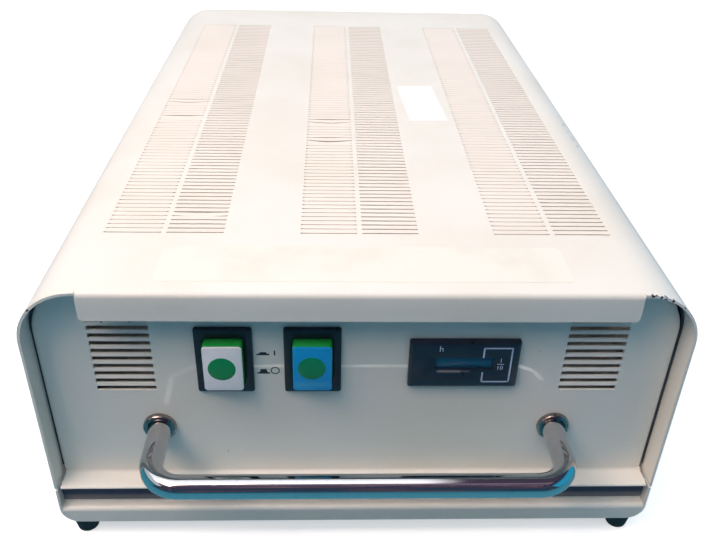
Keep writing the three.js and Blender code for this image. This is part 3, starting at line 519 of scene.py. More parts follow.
# One object of the dressed part: its shells in millimetres, its finish, and where it belongs
def buildPiece(name, shells, look, body, replaced=(), sheetMetal=0.0, bevel=0.0):
    points, faces, start = [], [], 0
    for shellPoints, shellFaces in shells:
        points.append(shellPoints)
        faces += [[corner + start for corner in face] for face in shellFaces]
        start += len(shellPoints)
    mesh = newMesh(name, (np.concatenate(points) * mm).tolist(), faces)
    work = bmesh.new()
    work.from_mesh(mesh)
    bmesh.ops.remove_doubles(work, verts=work.verts, dist=joining["weld"] * mm)
    bmesh.ops.dissolve_degenerate(work, edges=work.edges, dist=joining["collapse"] * mm)
    if not sheetMetal:
        bmesh.ops.recalc_face_normals(work, faces=work.faces)
    loose = [vert for vert in work.verts if not vert.link_faces]
    bmesh.ops.delete(work, geom=loose, context="VERTS")
    work.to_mesh(mesh)
    work.free()
    mesh.shade_smooth()
    mesh.set_sharp_from_angle(angle=math.radians(joining["sharpFrom"]))
    mesh.materials.append(looks[look])
    piece = newObject(name, mesh)
    if sheetMetal:
        solid = piece.modifiers.new("thickness", "SOLIDIFY")
        solid.thickness = sheetMetal * mm
        solid.offset = -1
        solid.use_even_offset = True
    if bevel:
        edge = piece.modifiers.new("softEdges", "BEVEL")
        edge.width = bevel * mm
        edge.segments = 2
        edge.limit_method = "ANGLE"
        edge.angle_limit = math.radians(joining["bevelFrom"])
        edge.harden_normals = True
    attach(piece, body)
    if replaced:
        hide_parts(*replaced)


# Strips left between slits in sheet: each one's section is a thin rectangle that leans about the
# strip's length, easing from flat at both ends. Local axes: along, across, outwards.
def leaningStrips(ends, middles, width, thick, lean, ease, dents=None):
    rise = np.array([0, 0.12, 0.3, 0.55, 0.8, 1.0]) * ease
    middle = (ends[0] + ends[1]) / 2
    spread = (ends[1] - ends[0]) / 2 - ease
    inner = middle + spread * np.array([-0.6, -0.25, 0.25, 0.6])
    along = np.concatenate([ends[0] + rise, inner, ends[1] - rise[::-1]])
    fromEnd = np.minimum(along - ends[0], ends[1] - along)
    # a smooth step from 0 at either end to 1 past the eased stretch
    share = np.clip(fromEnd / ease, 0, 1)
    share = share * share * (3 - 2 * share)
    bow = np.cos((along - middle) / (ends[1] - ends[0]) * math.pi)
    middles = np.asarray(middles)
    dents = np.zeros((len(middles), 2)) if dents is None else dents
    angle = lean * share[None, :] + dents[:, 1:2] * bow[None, :]
    drop = dents[:, 0:1] * bow[None, :]
    across = np.array([-0.5, 0.5, 0.5, -0.5]) * width
    out = np.array([0.5, 0.5, -0.5, -0.5]) * thick
    cos, sin = np.cos(angle)[..., None], np.sin(angle)[..., None]
    v = middles[:, None, None] + across * cos - out * sin
    w = across * sin + out * cos - thick / 2 + drop[..., None]
    u = np.broadcast_to(along[None, :, None], v.shape)
    points = np.stack([u, v, w], -1)
    strips, rows, cols = points.shape[:3]
    single = gridFaces(rows, cols, False, True)
    single += [[3, 2, 1, 0], [rows * cols - 4 + k for k in range(4)]]
    faces = [[corner + i * rows * cols for corner in face] for i in range(strips) for face in single]
    return points.reshape(-1, 3), faces


# Top cover: an arch of sheet whose front edge folds down into a lip between the rounded shoulders
cover = {
    "radius": 25,
    "lipHalf": 113.75,
    "notch": 0.02,  # between the lip's ends and the shoulders
    "lipHeight": 13.4,
    "lipBend": 2.5,
    "lipCorner": 1.8,
    "bendSteps": 6,
    "shoulderSteps": 14,
}
louvres = {
    "width": 25.4,
    "pairGap": 2.2,
    "pairPitch": 87,
    "pitch": 336 / 86,
    "slits": 87,
    "slit": 0.95,
    "first": 39,  # behind the front panel
    "thick": 1.0,
    "lean": {-1: math.radians(5.2), 1: math.radians(0.2)},  # left and right column of a pair
    "ease": 2.2,
    # bent blades: column, blade, drop in the middle, extra lean
    "bent": [(0, 41, -1.0, 0.18), (0, 42, -0.4, 0.08), (0, 35, -0.7, 0.14), (2, 33, -1.2, 0.22),
             (2, 34, -0.5, 0.08), (2, 26, -1.4, 0.26), (1, 4, -0.5, 0.1), (2, 27, -0.4, 0.08)],
}


def louvreColumns():
    columns = []
    for pair in (-1, 0, 1):
        for side in (-1, 1):
            middle = pair * louvres["pairPitch"] + side * (louvres["width"] + louvres["pairGap"]) / 2
            columns.append((middle - louvres["width"] / 2, middle + louvres["width"] / 2, side))
    return columns


slitY = panelY + louvres["first"] + np.arange(louvres["slits"]) * louvres["pitch"]
fieldY = (slitY[0] - louvres["slit"] / 2, slitY[-1] + louvres["slit"] / 2)


# The arch's section carried from front to rear, open at the louvre fields and, along its front edge,
# where the lip bends down between two notches
def coverSheet():
    radius, lipHalf = cover["radius"], cover["lipHalf"]
    earX = lipHalf + cover["notch"]
    edges = [x for column in louvreColumns() for x in column[:2]]
    lineX = np.array(sorted(edges + [-earX, -lipHalf, lipHalf, earX, 0]))
    angle = quarter(cover["shoulderSteps"], math.pi / 2)[::-1]
    shoulder = [radius - halfWidth, top - radius] + radius * np.stack([np.cos(angle), np.sin(angle)], 1)
    wall = np.stack([np.full(4, -halfWidth), np.linspace(coverLow[2], top - radius, 5)[:-1]], 1)
    left = np.concatenate([wall, shoulder])
    flat = np.stack([lineX, np.full(len(lineX), top)], 1)
    outline = np.concatenate([left, flat, left[::-1] * [-1, 1]])
    bendY = coverLow[1] + cover["lipBend"]
    lineY = np.array([coverLow[1], bendY, *fieldY, coverHigh[1]])
    points = gridPoints(outline[None, :, 0], lineY[:, None], outline[None, :, 1])
    middleX = (outline[:-1, 0] + outline[1:, 0]) / 2
    flatSpan = (outline[:-1, 1] == top) & (outline[1:, 1] == top)
    keep = np.ones((len(lineY) - 1, len(outline) - 1), bool)
    keep[0] = ~(flatSpan & (abs(middleX) < earX))
    for low, high, _ in louvreColumns():
        keep[2, flatSpan & (middleX > low) & (middleX < high)] = False
    crown = gridShell(points, (0, 0, 1), keep)

    # the lip: a quarter circle, then straight down, drawn in at its lower corners
    turn = quarter(cover["bendSteps"])
    bend, corner = cover["lipBend"], cover["lipCorner"]
    foot = top - cover["lipHeight"]
    tip = foot + corner * (1 - np.cos(np.linspace(math.pi / 2, 0, 6)))
    y = np.concatenate([bendY - bend * np.sin(turn), np.full(7, coverLow[1])])
    z = np.concatenate([top - bend + bend * np.cos(turn), [(top - bend + foot + corner) / 2], tip])
    rise = np.clip((z - foot) / corner, 0, 1)
    drawIn = corner * (1 - np.sqrt(1 - (1 - rise) ** 2))
    x = lineX[abs(lineX) <= lipHalf] * (1 - drawIn[:, None] / lipHalf)
    lip = gridShell(gridPoints(x, y[:, None], z[:, None]), (0, -1, 0))
    buildPiece("coverSheet", [crown, lip], "cover", "housing", ["top_cover"],
               sheetMetal=sheet, bevel=0.22)


# Between each two slits of a column lies one leaning strip, and a few are dented
def louvreBlades():
    middles = (slitY[:-1] + slitY[1:]) / 2
    width = louvres["pitch"] - louvres["slit"]
    shells = []
    for index, (low, high, side) in enumerate(louvreColumns()):
        dents = np.zeros((len(middles), 2))
        for column, blade, drop, extra in louvres["bent"]:
            if column == index:
                dents[blade] = drop, extra
        # a positive lean takes a blade's front edge down
        points, faces = leaningStrips((low, high), middles, width, louvres["thick"],
                                      louvres["lean"][side], louvres["ease"], dents)
        shells.append((toTop(points, 0, 0, top - 0.01), faces))
    buildPiece("louvreBlades", shells, "blade", "housing", ["top_cover"])


coverSheet()
louvreBlades()
print("top cover bent and louvred")


# Front panel: a plate whose outer edge turns back on a soft bend, with a shelf folded forward
# along its foot and two fields of leaning bands
panel = {
    "gap": 2.25,  # inside the cover's outer face
    "radius": 24.6,
    "bend": 2.2,
    "flange": 9,
    "cornerSteps": 12,
    "shift": -0.3,  # it sits a little to the left in its arch
    "shiftFrom": 118,
    "middleLine": 72.0,  # one more line of Z across the plate
    "shelfBend": 1.4,
    "shelfEnd": 1.6,
    "shelfNose": 0.9,
}
vents = {
    "x": (89.3, 115.15),
    "lowest": 56.6,  # below the top of the cover
    "pitch": 4.07,
    "slits": 10,
    "slit": 2.45,
    "lean": math.radians(14),
    "ease": 1.6,
}
slitZ = top - vents["lowest"] + np.arange(vents["slits"]) * vents["pitch"]
shelfTop = coverLow[2] + sheet


# Plate on lines of x and z inside an arch whose corners are quarter circles: above a level, the
# lines of z are drawn down to the arch. Its edge then turns back with the arch's own normals.
def archPlate(foot, lineX, lineZ, holes):
    bend = panel["bend"]
    half, crown = halfWidth - panel["gap"] - bend, top - panel["gap"] - bend
    radius = panel["radius"] - bend
    cornerX = half - radius + radius * np.sin(quarter(panel["cornerSteps"]))
    xs = np.unique(np.round(np.concatenate([lineX, cornerX, -cornerX]), 6))
    zs = np.unique(np.round(np.concatenate([lineZ, [foot, crown]]), 6))
    over = np.clip(abs(xs) - (half - radius), 0, radius)
    roof = crown - radius + np.sqrt(radius**2 - over**2)
    level = max(line for line in [foot, *lineZ] if line <= crown - radius)
    drawn = level + (zs[:, None] - level) * (roof[None, :] - level) / (crown - level)
    points = gridPoints(xs[None, :], panelY, np.where(zs[:, None] > level, drawn, zs[:, None]))
    midX, midZ = (xs[:-1] + xs[1:]) / 2, (zs[:-1] + zs[1:]) / 2
    keep = np.ones((len(zs) - 1, len(xs) - 1), bool)
    for x0, x1, z0, z1 in holes:
        keep &= ~(((midX > x0) & (midX < x1))[None, :] & ((midZ > z0) & (midZ < z1))[:, None])
    rim = np.concatenate([points[:-1, 0], points[-1], points[:-1, -1][::-1]])[:, [0, 2]]
    # outward normals: from the arc's centre in the corners, straight out elsewhere
    outward = rim - np.clip(rim, [radius - half, 0], [half - radius, crown - radius])
    outward /= np.maximum(np.linalg.norm(outward, axis=1, keepdims=True), 1e-9)
    turn = quarter(4)
    out = np.append(bend * np.sin(turn), bend)
    back = np.append(bend * (1 - np.cos(turn)), bend + panel["flange"])
    edge = rim[None] + outward[None] * out[:, None, None]
    rings = gridPoints(edge[..., 0], (panelY + back)[:, None], edge[..., 1])
    return gridShell(points, (0, -1, 0), keep), gridShell(rings, centre=[0, panelY, foot])


def frontPanel():
    ventHole = (slitZ[0] - vents["slit"] / 2, slitZ[-1] + vents["slit"] / 2)
    holes = [(-vents["x"][1], -vents["x"][0], *ventHole), (*vents["x"], *ventHole)]
    for name in ("white_switch_body", "blue_switch_body", "meter_case"):
        low, high = nodeBox(name)
        shrink = 2 if name == "meter_case" else 0
        holes.append((low[0] + shrink, high[0] - shrink, low[2] + shrink, high[2] - shrink))
    lineX = sorted({x for hole in holes for x in hole[:2]} | {0})
    lineZ = sorted({z for hole in holes for z in hole[2:]} | {panel["middleLine"]})
    bend = panel["shelfBend"]
    foot = shelfTop + bend
    plate, rim = archPlate(foot, lineX, lineZ, holes)
    for points, _ in (plate, rim):
        points[abs(points[:, 0]) > panel["shiftFrom"], 0] += panel["shift"]
    # shelf: a hollow quarter bend from the plate, then flat to the front edge, then a short turn down
    turn, nose = quarter(4), panel["shelfNose"]
    ys = np.concatenate([panelY - bend * (1 - np.cos(turn)), coverLow[1] + nose * (1 - np.sin(turn))])
    zs = np.concatenate([foot - bend * np.sin(turn), shelfTop - nose * (1 - np.cos(turn))])
    width = halfWidth - sheet - panel["shelfEnd"]
    xs = np.linspace(-width, width, 25)
    shelf = gridPoints(xs[None, :], ys[:, None], zs[:, None])
    buildPiece("panelSheet", [plate, rim, gridShell(shelf, (0, -1, 1))], "panel", "housing",
               ["front_panel"], sheetMetal=sheet, bevel=0.16)
    middles = (slitZ[:-1] + slitZ[1:]) / 2
    shells = []
    for side in (-1, 1):
        ends = sorted([side * vents["x"][0], side * vents["x"][1]])
        points, faces = leaningStrips(ends, middles, vents["pitch"] - vents["slit"], sheet,
                                      -vents["lean"], vents["ease"])
        shells.append((toFront(points, 0, panelY, 0), faces))
    buildPiece("panelVents", shells, "panel", "housing", ["front_panel"])


# Dark rubber strip between the panel's turned edge and the cover, a little behind the panel's face: painted
# shade, a dark strip standing in for the shade in that gap
gapShade = {"outer": sheet + 0.03, "inner": panel["gap"] - 0.03, "depth": (1.6, 6.0), "fromShelf": 3}


def panelGasket():
    turn = quarter(12)
    front, rear = gapShade["depth"]
    loops = []
    for key, depth in (("outer", front), ("inner", front), ("inner", rear), ("outer", rear)):
        half, crown, radius = [size - gapShade[key] for size in (halfWidth, top, cover["radius"])]
        arc = np.stack([half - radius + radius * np.cos(turn), crown - radius + radius * np.sin(turn)], 1)
        right = np.concatenate([[[half, shelfTop + gapShade["fromShelf"]]], arc])
        line = np.concatenate([right, right[::-1] * [-1, 1]])
        loops.append(gridPoints(line[:, 0], panelY + depth, line[:, 1]))
    # one square section at each place along the arch
    buildPiece("panelGasket", [ringShell(np.stack(loops, 1))], "gapShade", "housing")


frontPanel()
panelGasket()
print("front panel folded")


# Window frame: a shallow pan with rounded lower edges, a pull groove and a rounded rim in front
frameLow, frameHigh = nodeBox("window_frame")
pan = {
    "radius": 8.5,
    "top": 31.0,
    "rimTop": 19.2,
    "groove": 5.0,
    "rimBend": 2.0,
    "innerBend": 1.2,
    "windowSide": 22,
    "windowEnd": 24,
    "cornerSteps": 8,
}


# The pan's section: down one wall, round its lower corner, along the floor and up the other side
def panOutline(half, floor, radius):
    angle = quarter(pan["cornerSteps"], math.pi)
    arc = np.stack([-half + radius + radius * np.cos(angle), floor + radius + radius * np.sin(angle)], 1)
    left = np.concatenate([[[-half, pan["top"]], [-half, pan["rimTop"]]], arc])
    inner = halfWidth - pan["windowSide"]
    floorLine = np.array([[-inner, floor], [0, floor], [inner, floor]])
    return np.concatenate([left, floorLine, left[::-1] * [-1, 1]])


def windowFrame():
    front, rear, floor = frameLow[1], frameHigh[1], frameLow[2]
    outline = panOutline(halfWidth, floor, pan["radius"])
    lines = np.array([front, front + 0.3, front + pan["windowEnd"], rear - pan["windowEnd"], rear])
    points = gridPoints(outline[None, :, 0], lines[:, None], outline[None, :, 1])
    middle = (outline[:-1] + outline[1:]) / 2
    keep = np.ones((len(lines) - 1, len(outline) - 1), bool)
    keep[2, (abs(middle[:, 0]) < halfWidth - pan["windowSide"]) & (middle[:, 1] <= floor + 1e-6)] = False
    body = gridShell(points, keep=keep, centre=[0, 0, pan["top"]])

    # rim: wall behind the groove, hollow bend, flat top, rounded front edge, face down to the floor
    turn = quarter(5)
    wallY = front + pan["groove"]
    hollow, nose = pan["innerBend"], pan["rimBend"]
    ys = np.concatenate([[wallY], wallY - hollow * (1 - np.cos(turn)), front + nose * (1 - np.sin(turn)),
                         np.full(9, front)])
    down = floor + pan["radius"] * (1 - np.cos(np.linspace(math.pi / 2, 0, 9)))
    down = np.minimum(down, pan["rimTop"] - nose)
    zs = np.concatenate([[pan["top"]], pan["rimTop"] + hollow * (1 - np.sin(turn)),
                         pan["rimTop"] - nose * (1 - np.cos(turn)), down])
    lowPart = np.clip((floor + pan["radius"] - zs) / pan["radius"], 0, 1)
    span = halfWidth - pan["radius"] * (1 - np.sqrt(1 - lowPart**2)) - 0.02
    span = np.where(ys > front + nose * 1.05, halfWidth - sheet - 0.1, span)
    across = np.linspace(-1, 1, 29)
    rim = gridShell(gridPoints(span[:, None] * across, ys[:, None] - 0.02, zs[:, None]), (0, -1, 0.2))
    for name, shell in (("framePan", body), ("frameRim", rim)):
        buildPiece(name, [shell], "frame", "window_door", ["window_frame"],
                   sheetMetal=sheet, bevel=0.2)


def panRear():
    # the pan's own outline from wall to wall, closed along its open top
    floor, rear = frameLow[2], frameHigh[1]
    inset = 0.02
    outline = panOutline(halfWidth - inset, floor + inset, pan["radius"] - inset)
    middle = np.array([0, (floor + pan["top"]) / 2])
    rings = []
    for grow, depth in ((1, sheet), (1, 0.2), (0.999, 0.05)):
        flat = middle + (outline - middle) * grow
        rings.append(gridPoints(flat[:, 0], rear - depth, flat[:, 1]))
    buildPiece("frameRear", [ringShell(np.array(rings))], "frame", "window_door",
               ["window_frame"])


# A dark foam strip along the wall behind the groove, pressed up to the shelf: painted shade, a dark strip
# standing in for the shade in the groove, with a lighter band of painted light along its foot
shadeStrip = {"thick": 0.8, "corner": 0.8, "fromWall": 0.15, "up": 0.6, "less": 0.8}


def grooveSeal():
    thick, corner = shadeStrip["thick"], shadeStrip["corner"]
    half = halfWidth - sheet - shadeStrip["fromWall"]
    middle = (pan["rimTop"] + pan["top"]) / 2 + shadeStrip["up"]
    high = (pan["top"] - pan["rimTop"]) / 2 - shadeStrip["less"]
    stations = [(0, corner, 0.0), (0, corner, thick * 0.6), (0.3, corner, thick)]
    shell = stacked((half, high), stations, 0, frameLow[1] + pan["groove"], middle)
    buildPiece("grooveSeal", [shell], "shadeFoam", "window_door")


windowFrame()
panRear()
grooveSeal()
print("window frame folded")


# Push-button switches
switches = {
    "bezelHalf": (12.3, 17.05),
    "bezelProud": 1.8,
    "bezelCorner": 1.0,
    "capHalf": (8.4, 11.6),
    "play": 0.35,  # round the cap in its bezel
    "capCorner": 1.5,
    "faceThick": 1.0,
    "spotRadius": 5.9,
}


# The bezel's rings go up its outside and down its inside. Cap, stem and face are stacks of rounded
# rectangles, and the spot is a turned disc.
def switchPieces(word, faceLook, spotLook, spotPlace):
    x, _, z = nodeMiddle(f"{word}_button_bezel")
    half, proud, corner = switches["capHalf"], switches["bezelProud"], switches["bezelCorner"]
    outer = rectRings(switches["bezelHalf"], [
        (0, corner, 0.05), (0, corner, proud - 0.5), (0.15, corner, proud - 0.15), (0.5, corner, proud)])
    inner = rectRings([side + switches["play"] for side in half], [
        (-0.4, 1.5, proud), (-0.1, 1.3, proud - 0.12), (0, 1.2, proud - 0.45), (0, 1.2, 0.05)])
    ring = ringShell(toFront(np.concatenate([outer, inner]), x, panelY, z), closed=True)
    buildPiece(f"{word}Bezel", [ring], "black", "housing", [f"{word}_button_bezel"])

    body, corner = f"{word}_button", switches["capCorner"]
    capBack = panelY - nodeBox(f"{word}_button_cap")[1][1]
    faceFront = panelY - nodeBox(f"{word}_cap_face")[0][1]
    seat = faceFront - switches["faceThick"]
    cap = stacked(half, [
        (-1.2, 0.6, -2.1), (-1.2, 0.6, -0.7), (0, corner, -0.6), (0, corner, seat - 0.5),
        (0.12, corner, seat - 0.12), (0.5, corner, seat - 0.02)], x, panelY, z, 6)
    stem = stacked((3, 3), [(0, 0.4, -2.0), (0, 0.4, capBack + 0.2), (0.4, 0.4, capBack)], x, panelY, z)
    buildPiece(f"{word}Cap", [cap, stem], "green", body, [f"{word}_button_cap"])
    face = stacked(half, [
        (0.25, corner, seat), (0.05, corner, seat + 0.15), (0.05, corner, faceFront - 0.35),
        (0.15, corner, faceFront - 0.1), (0.45, corner, faceFront)], x, panelY, z, 6)
    buildPiece(f"{word}Face", [face], faceLook, body, [f"{word}_cap_face"])
    radius, (spotX, spotZ) = switches["spotRadius"], spotPlace
    disc = [(radius, -0.3), (radius, 0.02), (radius - 0.15, 0.08), (radius * 0.6, 0.12), (0.3, 0.14)]
    spot = turned(disc, spotX, panelY - faceFront, top + spotZ, 48)
    buildPiece(f"{word}Spot", [spot], spotLook, body)


switchPieces("white", "white", "greenSpot", (-58.8, -40.1))
switchPieces("blue", "blue", "tealSpot", (-20.8, -39.7))
print("switches set in")


# Hour meter
meter = {
    "half": (24, 12.45),
    "drop": 0.25,  # of the case's rim below the middle of its back
    "proud": 2.9,
    "corner": 0.9,
    "chamfer": 0.9,
    "windowHalf": (12.6, 3.05),
    # x and z from the top: a bracket from the tenths drum to its fraction, broken beside the window,
    # and the fraction's own bar
    "bars": [(52.7, 65.6, -32.7, -32.0), (64.9, 65.6, -51.0, -32.0), (53.0, 65.6, -51.0, -50.3),
             (52.7, 53.4, -37.6, -32.0), (53.0, 53.7, -51.0, -45.4), (59.4, 62.4, -41.1, -40.8)],
    "words": [("h", 4.2, 34.6, -32.6), ("1", 3.0, 60.9, -38.9), ("10", 3.0, 60.9, -42.9)],
}


# A flat bar on a face that looks to the front
def bar(x0, x1, z0, z1, depth, thick=0.06):
    return stacked(((x1 - x0) / 2, (z1 - z0) / 2), [(0, 0.08, depth - 0.1), (0, 0.08, depth + thick)],
                   (x0 + x1) / 2, panelY, (z0 + z1) / 2, 2)


# Built-in lettering as a thin solid, its middle at a place on a face that looks to the front
def letters(text, size, x, z, depth, thick=0.05):
    curve = bpy.data.curves.new("letters", "FONT")
    curve.body, curve.size, curve.extrude, curve.resolution_u = text, size, thick / 2, 3
    curve.align_x = curve.align_y = "CENTER"
    carrier = newObject("letters", curve)
    bpy.context.view_layer.update()
    mesh = bpy.data.meshes.new_from_object(carrier.evaluated_get(bpy.context.evaluated_depsgraph_get()))
    points = np.empty(len(mesh.vertices) * 3)
    mesh.vertices.foreach_get("co", points)
    points = points.reshape(-1, 3)
    points = points - (points.min(0) + points.max(0)) / 2
    faces = [list(face.vertices) for face in mesh.polygons]
    bpy.data.objects.remove(carrier)
    bpy.data.meshes.remove(mesh)
    bpy.data.curves.remove(curve)
    return toFront(points, x, panelY - depth, z), faces


# The case runs as rings from its back out over a chamfered rim, in through the window and down the
# room of the drums, with a cap on its back and on the floor of that room
def hourMeter():
    x, _, z = nodeMiddle("meter_lens")
    caseX, _, caseZ = nodeMiddle("meter_case")
    half, hole = meter["half"], meter["windowHalf"]
    proud, chamfer, corner = meter["proud"], meter["chamfer"], meter["corner"]
    rise = [0, z - caseZ, 0]
    back = rectRings(half, [(2.0, 0.8, -29.9), (1.6, 0.8, -29.4), (1.6, 0.8, 0.05)])
    outer = rectRings(half, [
        (0, corner, 0.05), (0, corner, proud - chamfer), (0.12, corner, proud - chamfer + 0.25),
        (chamfer, corner, proud - 0.12), (chamfer + 0.3, corner, proud)]) - [0, meter["drop"], 0]
    inner = rectRings(hole, [
        (-0.35, 0.7, proud), (-0.1, 0.5, proud - 0.12), (0, 0.4, proud - 0.4), (0, 0.4, proud - 2.6)]) + rise
    room = rectRings((hole[0] + 1.6, 5.1), [(0, 0.3, 0.2), (0, 0.3, -29)]) + rise
    case = toFront(np.concatenate([back, outer, inner, room]), caseX, panelY, caseZ)
    buildPiece("meterCase", [ringShell(case)], "meter", "housing", ["meter_case"])
    front = panelY - nodeBox("meter_lens")[0][1]
    stations = [(0, 0.4, front - 0.8), (0, 0.4, front - 0.05), (0.1, 0.4, front)]
    lens = stacked((hole[0] + 1.3, hole[1] + 1.6), stations, x, panelY, z)
    buildPiece("meterLens", [lens], "smoked", "housing", ["meter_lens"])

    shells = [bar(x0, x1, top + z0, top + z1, proud) for x0, x1, z0, z1 in meter["bars"]]
    shells += [letters(word, size, x, top + z, proud) for word, size, x, z in meter["words"]]
    buildPiece("meterMarks", shells, "print", "housing")


hourMeter()
print("hour meter closed")


# Printed marks between the switches: a button pressed flat beside a bar, a raised one beside a ring
marks = {
    "iconX": -41.9,
    "signX": -36.9,
    "flatZ": -37.5,
    "raisedZ": -47.7,
    "iconHalf": 2.75,
    "ring": (2.0, 1.5),
    "film": 0.03,
}


def switchMarks():
    film = marks["film"]
    shells = []
    for drop, rise in ((marks["flatZ"], 0.8), (marks["raisedZ"], 1.7)):
        x, z, half = marks["iconX"], top + drop, marks["iconHalf"]
        shells.append(bar(x - half, x + half, z - 0.85, z - 0.05, 0.0, film))
        # the button over its base: a trapezium, or a taller one when it stands out
        outline = np.array([[-1.75, -0.1], [1.75, -0.1], [1.25, rise], [-1.25, rise]])
        rings = np.stack([np.column_stack([outline, np.full(4, depth)]) for depth in (-0.1, film)])
        shells.append(ringShell(toFront(rings, x, panelY, z)))
    x, z = marks["signX"], top + marks["flatZ"]
    shells.append(bar(x - 0.3, x + 0.3, z - 1.0, z + 1.7, 0.0, film))
    outer, inner = marks["ring"]
    shells.append(turned([(outer, -0.1), (outer, film), (inner, film), (inner, -0.1)],
                         x, panelY, top + marks["raisedZ"] + 0.9, 32, closed=True))
    buildPiece("switchMarks", shells, "ink", "housing")


switchMarks()
print("marks printed")


# Handle: one tube along two legs, two quarter bends and a bar, with a rounded collar at each foot
handle = {"radius": 5.1, "lift": 0.25, "bend": 14, "bendSteps": 16, "sides": 48, "barSteps": 6}


def handleTube():
    low, high = nodeBox("handle")
    radius, bend = handle["radius"], handle["bend"]
    barY = low[1] + radius
    axisX = high[0] - radius
    z = (low[2] + high[2]) / 2 + handle["lift"]
    turn = quarter(handle["bendSteps"])
    bendX = axisX - bend + bend * np.cos(turn)
    bendY = barY + bend - bend * np.sin(turn)
    barX = np.linspace(axisX - bend, 0, handle["barSteps"] + 1)[1:]
    lineX = np.concatenate([[axisX], bendX, barX])
    lineY = np.concatenate([[high[1]], bendY, np.full(len(barX), barY)])
    heading = np.concatenate([[0], turn, np.full(len(barX), math.pi / 2)])
    lineX = np.concatenate([lineX, -lineX[-2::-1]])
    lineY = np.concatenate([lineY, lineY[-2::-1]])
    heading = np.concatenate([heading, math.pi - heading[-2::-1]])
    angle = np.arange(handle["sides"]) * (2 * math.pi / handle["sides"])
    # each section circle stands square to the line: one axis is Z, the other turns with the line
    sideX, sideY = np.cos(heading)[:, None], -np.sin(heading)[:, None]
    x = lineX[:, None] + radius * np.cos(angle) * sideX
    y = lineY[:, None] + radius * np.cos(angle) * sideY
    z = np.broadcast_to(z + radius * np.sin(angle), x.shape)
    buildPiece("handleTube", [ringShell(np.stack([x, y, z], -1))], "chrome", "housing", ["handle"])


collar = {
    "outer": 7.5,
    "bore": 4.8,
    "dome": (6.2, 0.5),  # centre of its round edge, as radius and height
    "swell": (1.5, 2.3),
    "arc": (-0.35, math.pi - 0.2),
}


def handleCollar(word):
    x, _, z = nodeMiddle(f"handle_collar_{word}")
    (radius, depth), (wide, tall), outer = collar["dome"], collar["swell"], collar["outer"]
    dome = [(min(radius + wide * math.cos(a), outer), max(depth + tall * math.sin(a), 0.3))
            for a in np.linspace(*collar["arc"], 12)]
    stations = [(outer, 0.05), *dome, (collar["bore"], 0.6), (collar["bore"], 0.05)]
    ring = turned(stations, x, panelY, z, 48, closed=True)
    buildPiece(f"collar_{word}", [ring], "collar", "housing", [f"handle_collar_{word}"])


handleTube()
for word in ("left", "right"):
    handleCollar(word)
print("handle bent")


# Feet: turned rubber buttons with a softened rim and a hollow underneath, as radius and height
# from the floor, then radius and depth below the top
feet = {"low": [(2.4, 1.2), (2.8, 0.0), (4.4, 0.0), (4.85, 0.2), (5.05, 0.7)],
        "high": [(6.35, 1.0), (6.6, 0.5), (6.45, 0.1), (6.1, 0)]}


def foot(name):
    low, high = nodeBox(name)
    x, y, tall = (low[0] + high[0]) / 2, (low[1] + high[1]) / 2, high[2]
    stations = feet["low"] + [(radius, tall - depth) for radius, depth in feet["high"]]
    shell = turned(stations, x, y, 0, 36, toTop)
    buildPiece(f"rubber_{name}", [shell], "rubber", "window_door", [name])


for side in ("left", "right"):
    foot(f"foot_front_{side}")
    foot(f"foot_rear_{side}")
print("feet turned")


# A plain block between two corners, its edges left to the piece's bevel
def blockShell(low, high):
    (x0, y0, z0), (x1, y1, z1) = low, high
    square = [(x0, y0), (x1, y0), (x1, y1), (x0, y1)]
    sides = [[i, (i + 1) % 4, (i + 1) % 4 + 4, i + 4] for i in range(4)]
    return np.array([(*corner, z) for z in (z0, z1) for corner in square], float), [
        [0, 3, 2, 1], [4, 5, 6, 7], *sides]


# Ears of the window frame, each a strap with a round head bored for its hinge pin
hinge = {"head": 3.2, "bore": 1.85, "foot": 17.0, "thick": 2.6, "fromWall": 0.8, "steps": 16}


def hingeEars():
    shells = []
    y, z = nodeMiddle("hinge_pin_left")[1:]
    head = hinge["head"]
    turn = np.linspace(math.pi, 0, hinge["steps"])
    rise = np.linspace(hinge["foot"], z, 6)[:-1]
    left = np.column_stack([np.full(5, y - head), rise])
    arc = np.column_stack([y + head * np.cos(turn), z + head * np.sin(turn)])
    outline = np.concatenate([left, arc, left[::-1] * [-1, 1] + [2 * y, 0]])
    away = outline - [y, z]
    bore = [y, z] + hinge["bore"] * away / np.linalg.norm(away, axis=1, keepdims=True)
    wall = halfWidth - sheet
    outer = wall - hinge["fromWall"]
    inner = outer - hinge["thick"]
    for side in (-1, 1):
        rings = [np.column_stack([np.full(len(line), side * x), line])
                 for line, x in ((outline, inner), (outline, outer), (bore, outer), (bore, inner))]
        shells.append(ringShell(np.array(rings), closed=True))
        x0, x1 = sorted([side * (outer - 0.1), side * (wall + 0.1)])
        shells.append(blockShell((x0, y - head, hinge["foot"]), (x1, y + head, pan["top"] - 0.8)))
    buildPiece("hingeEars", shells, "frame", "window_door", ["window_frame"])


hingeEars()
print("hinge ears welded")


# Twin-tube lamps: two tubes with domed ends, a bridge near the free end, and a moulded base
lamps = {
    "names": ["lamp_blue_1", "lamp_white_1", "lamp_blue_2", "lamp_blue_3", "lamp_white_2", "lamp_blue_4"],
    "radius": 8.75,
    "spacing": 22.5,
    "base": 24,
    "bridge": 14,
    "armHalf": 11,
    "arm": (8, 2.0),
}


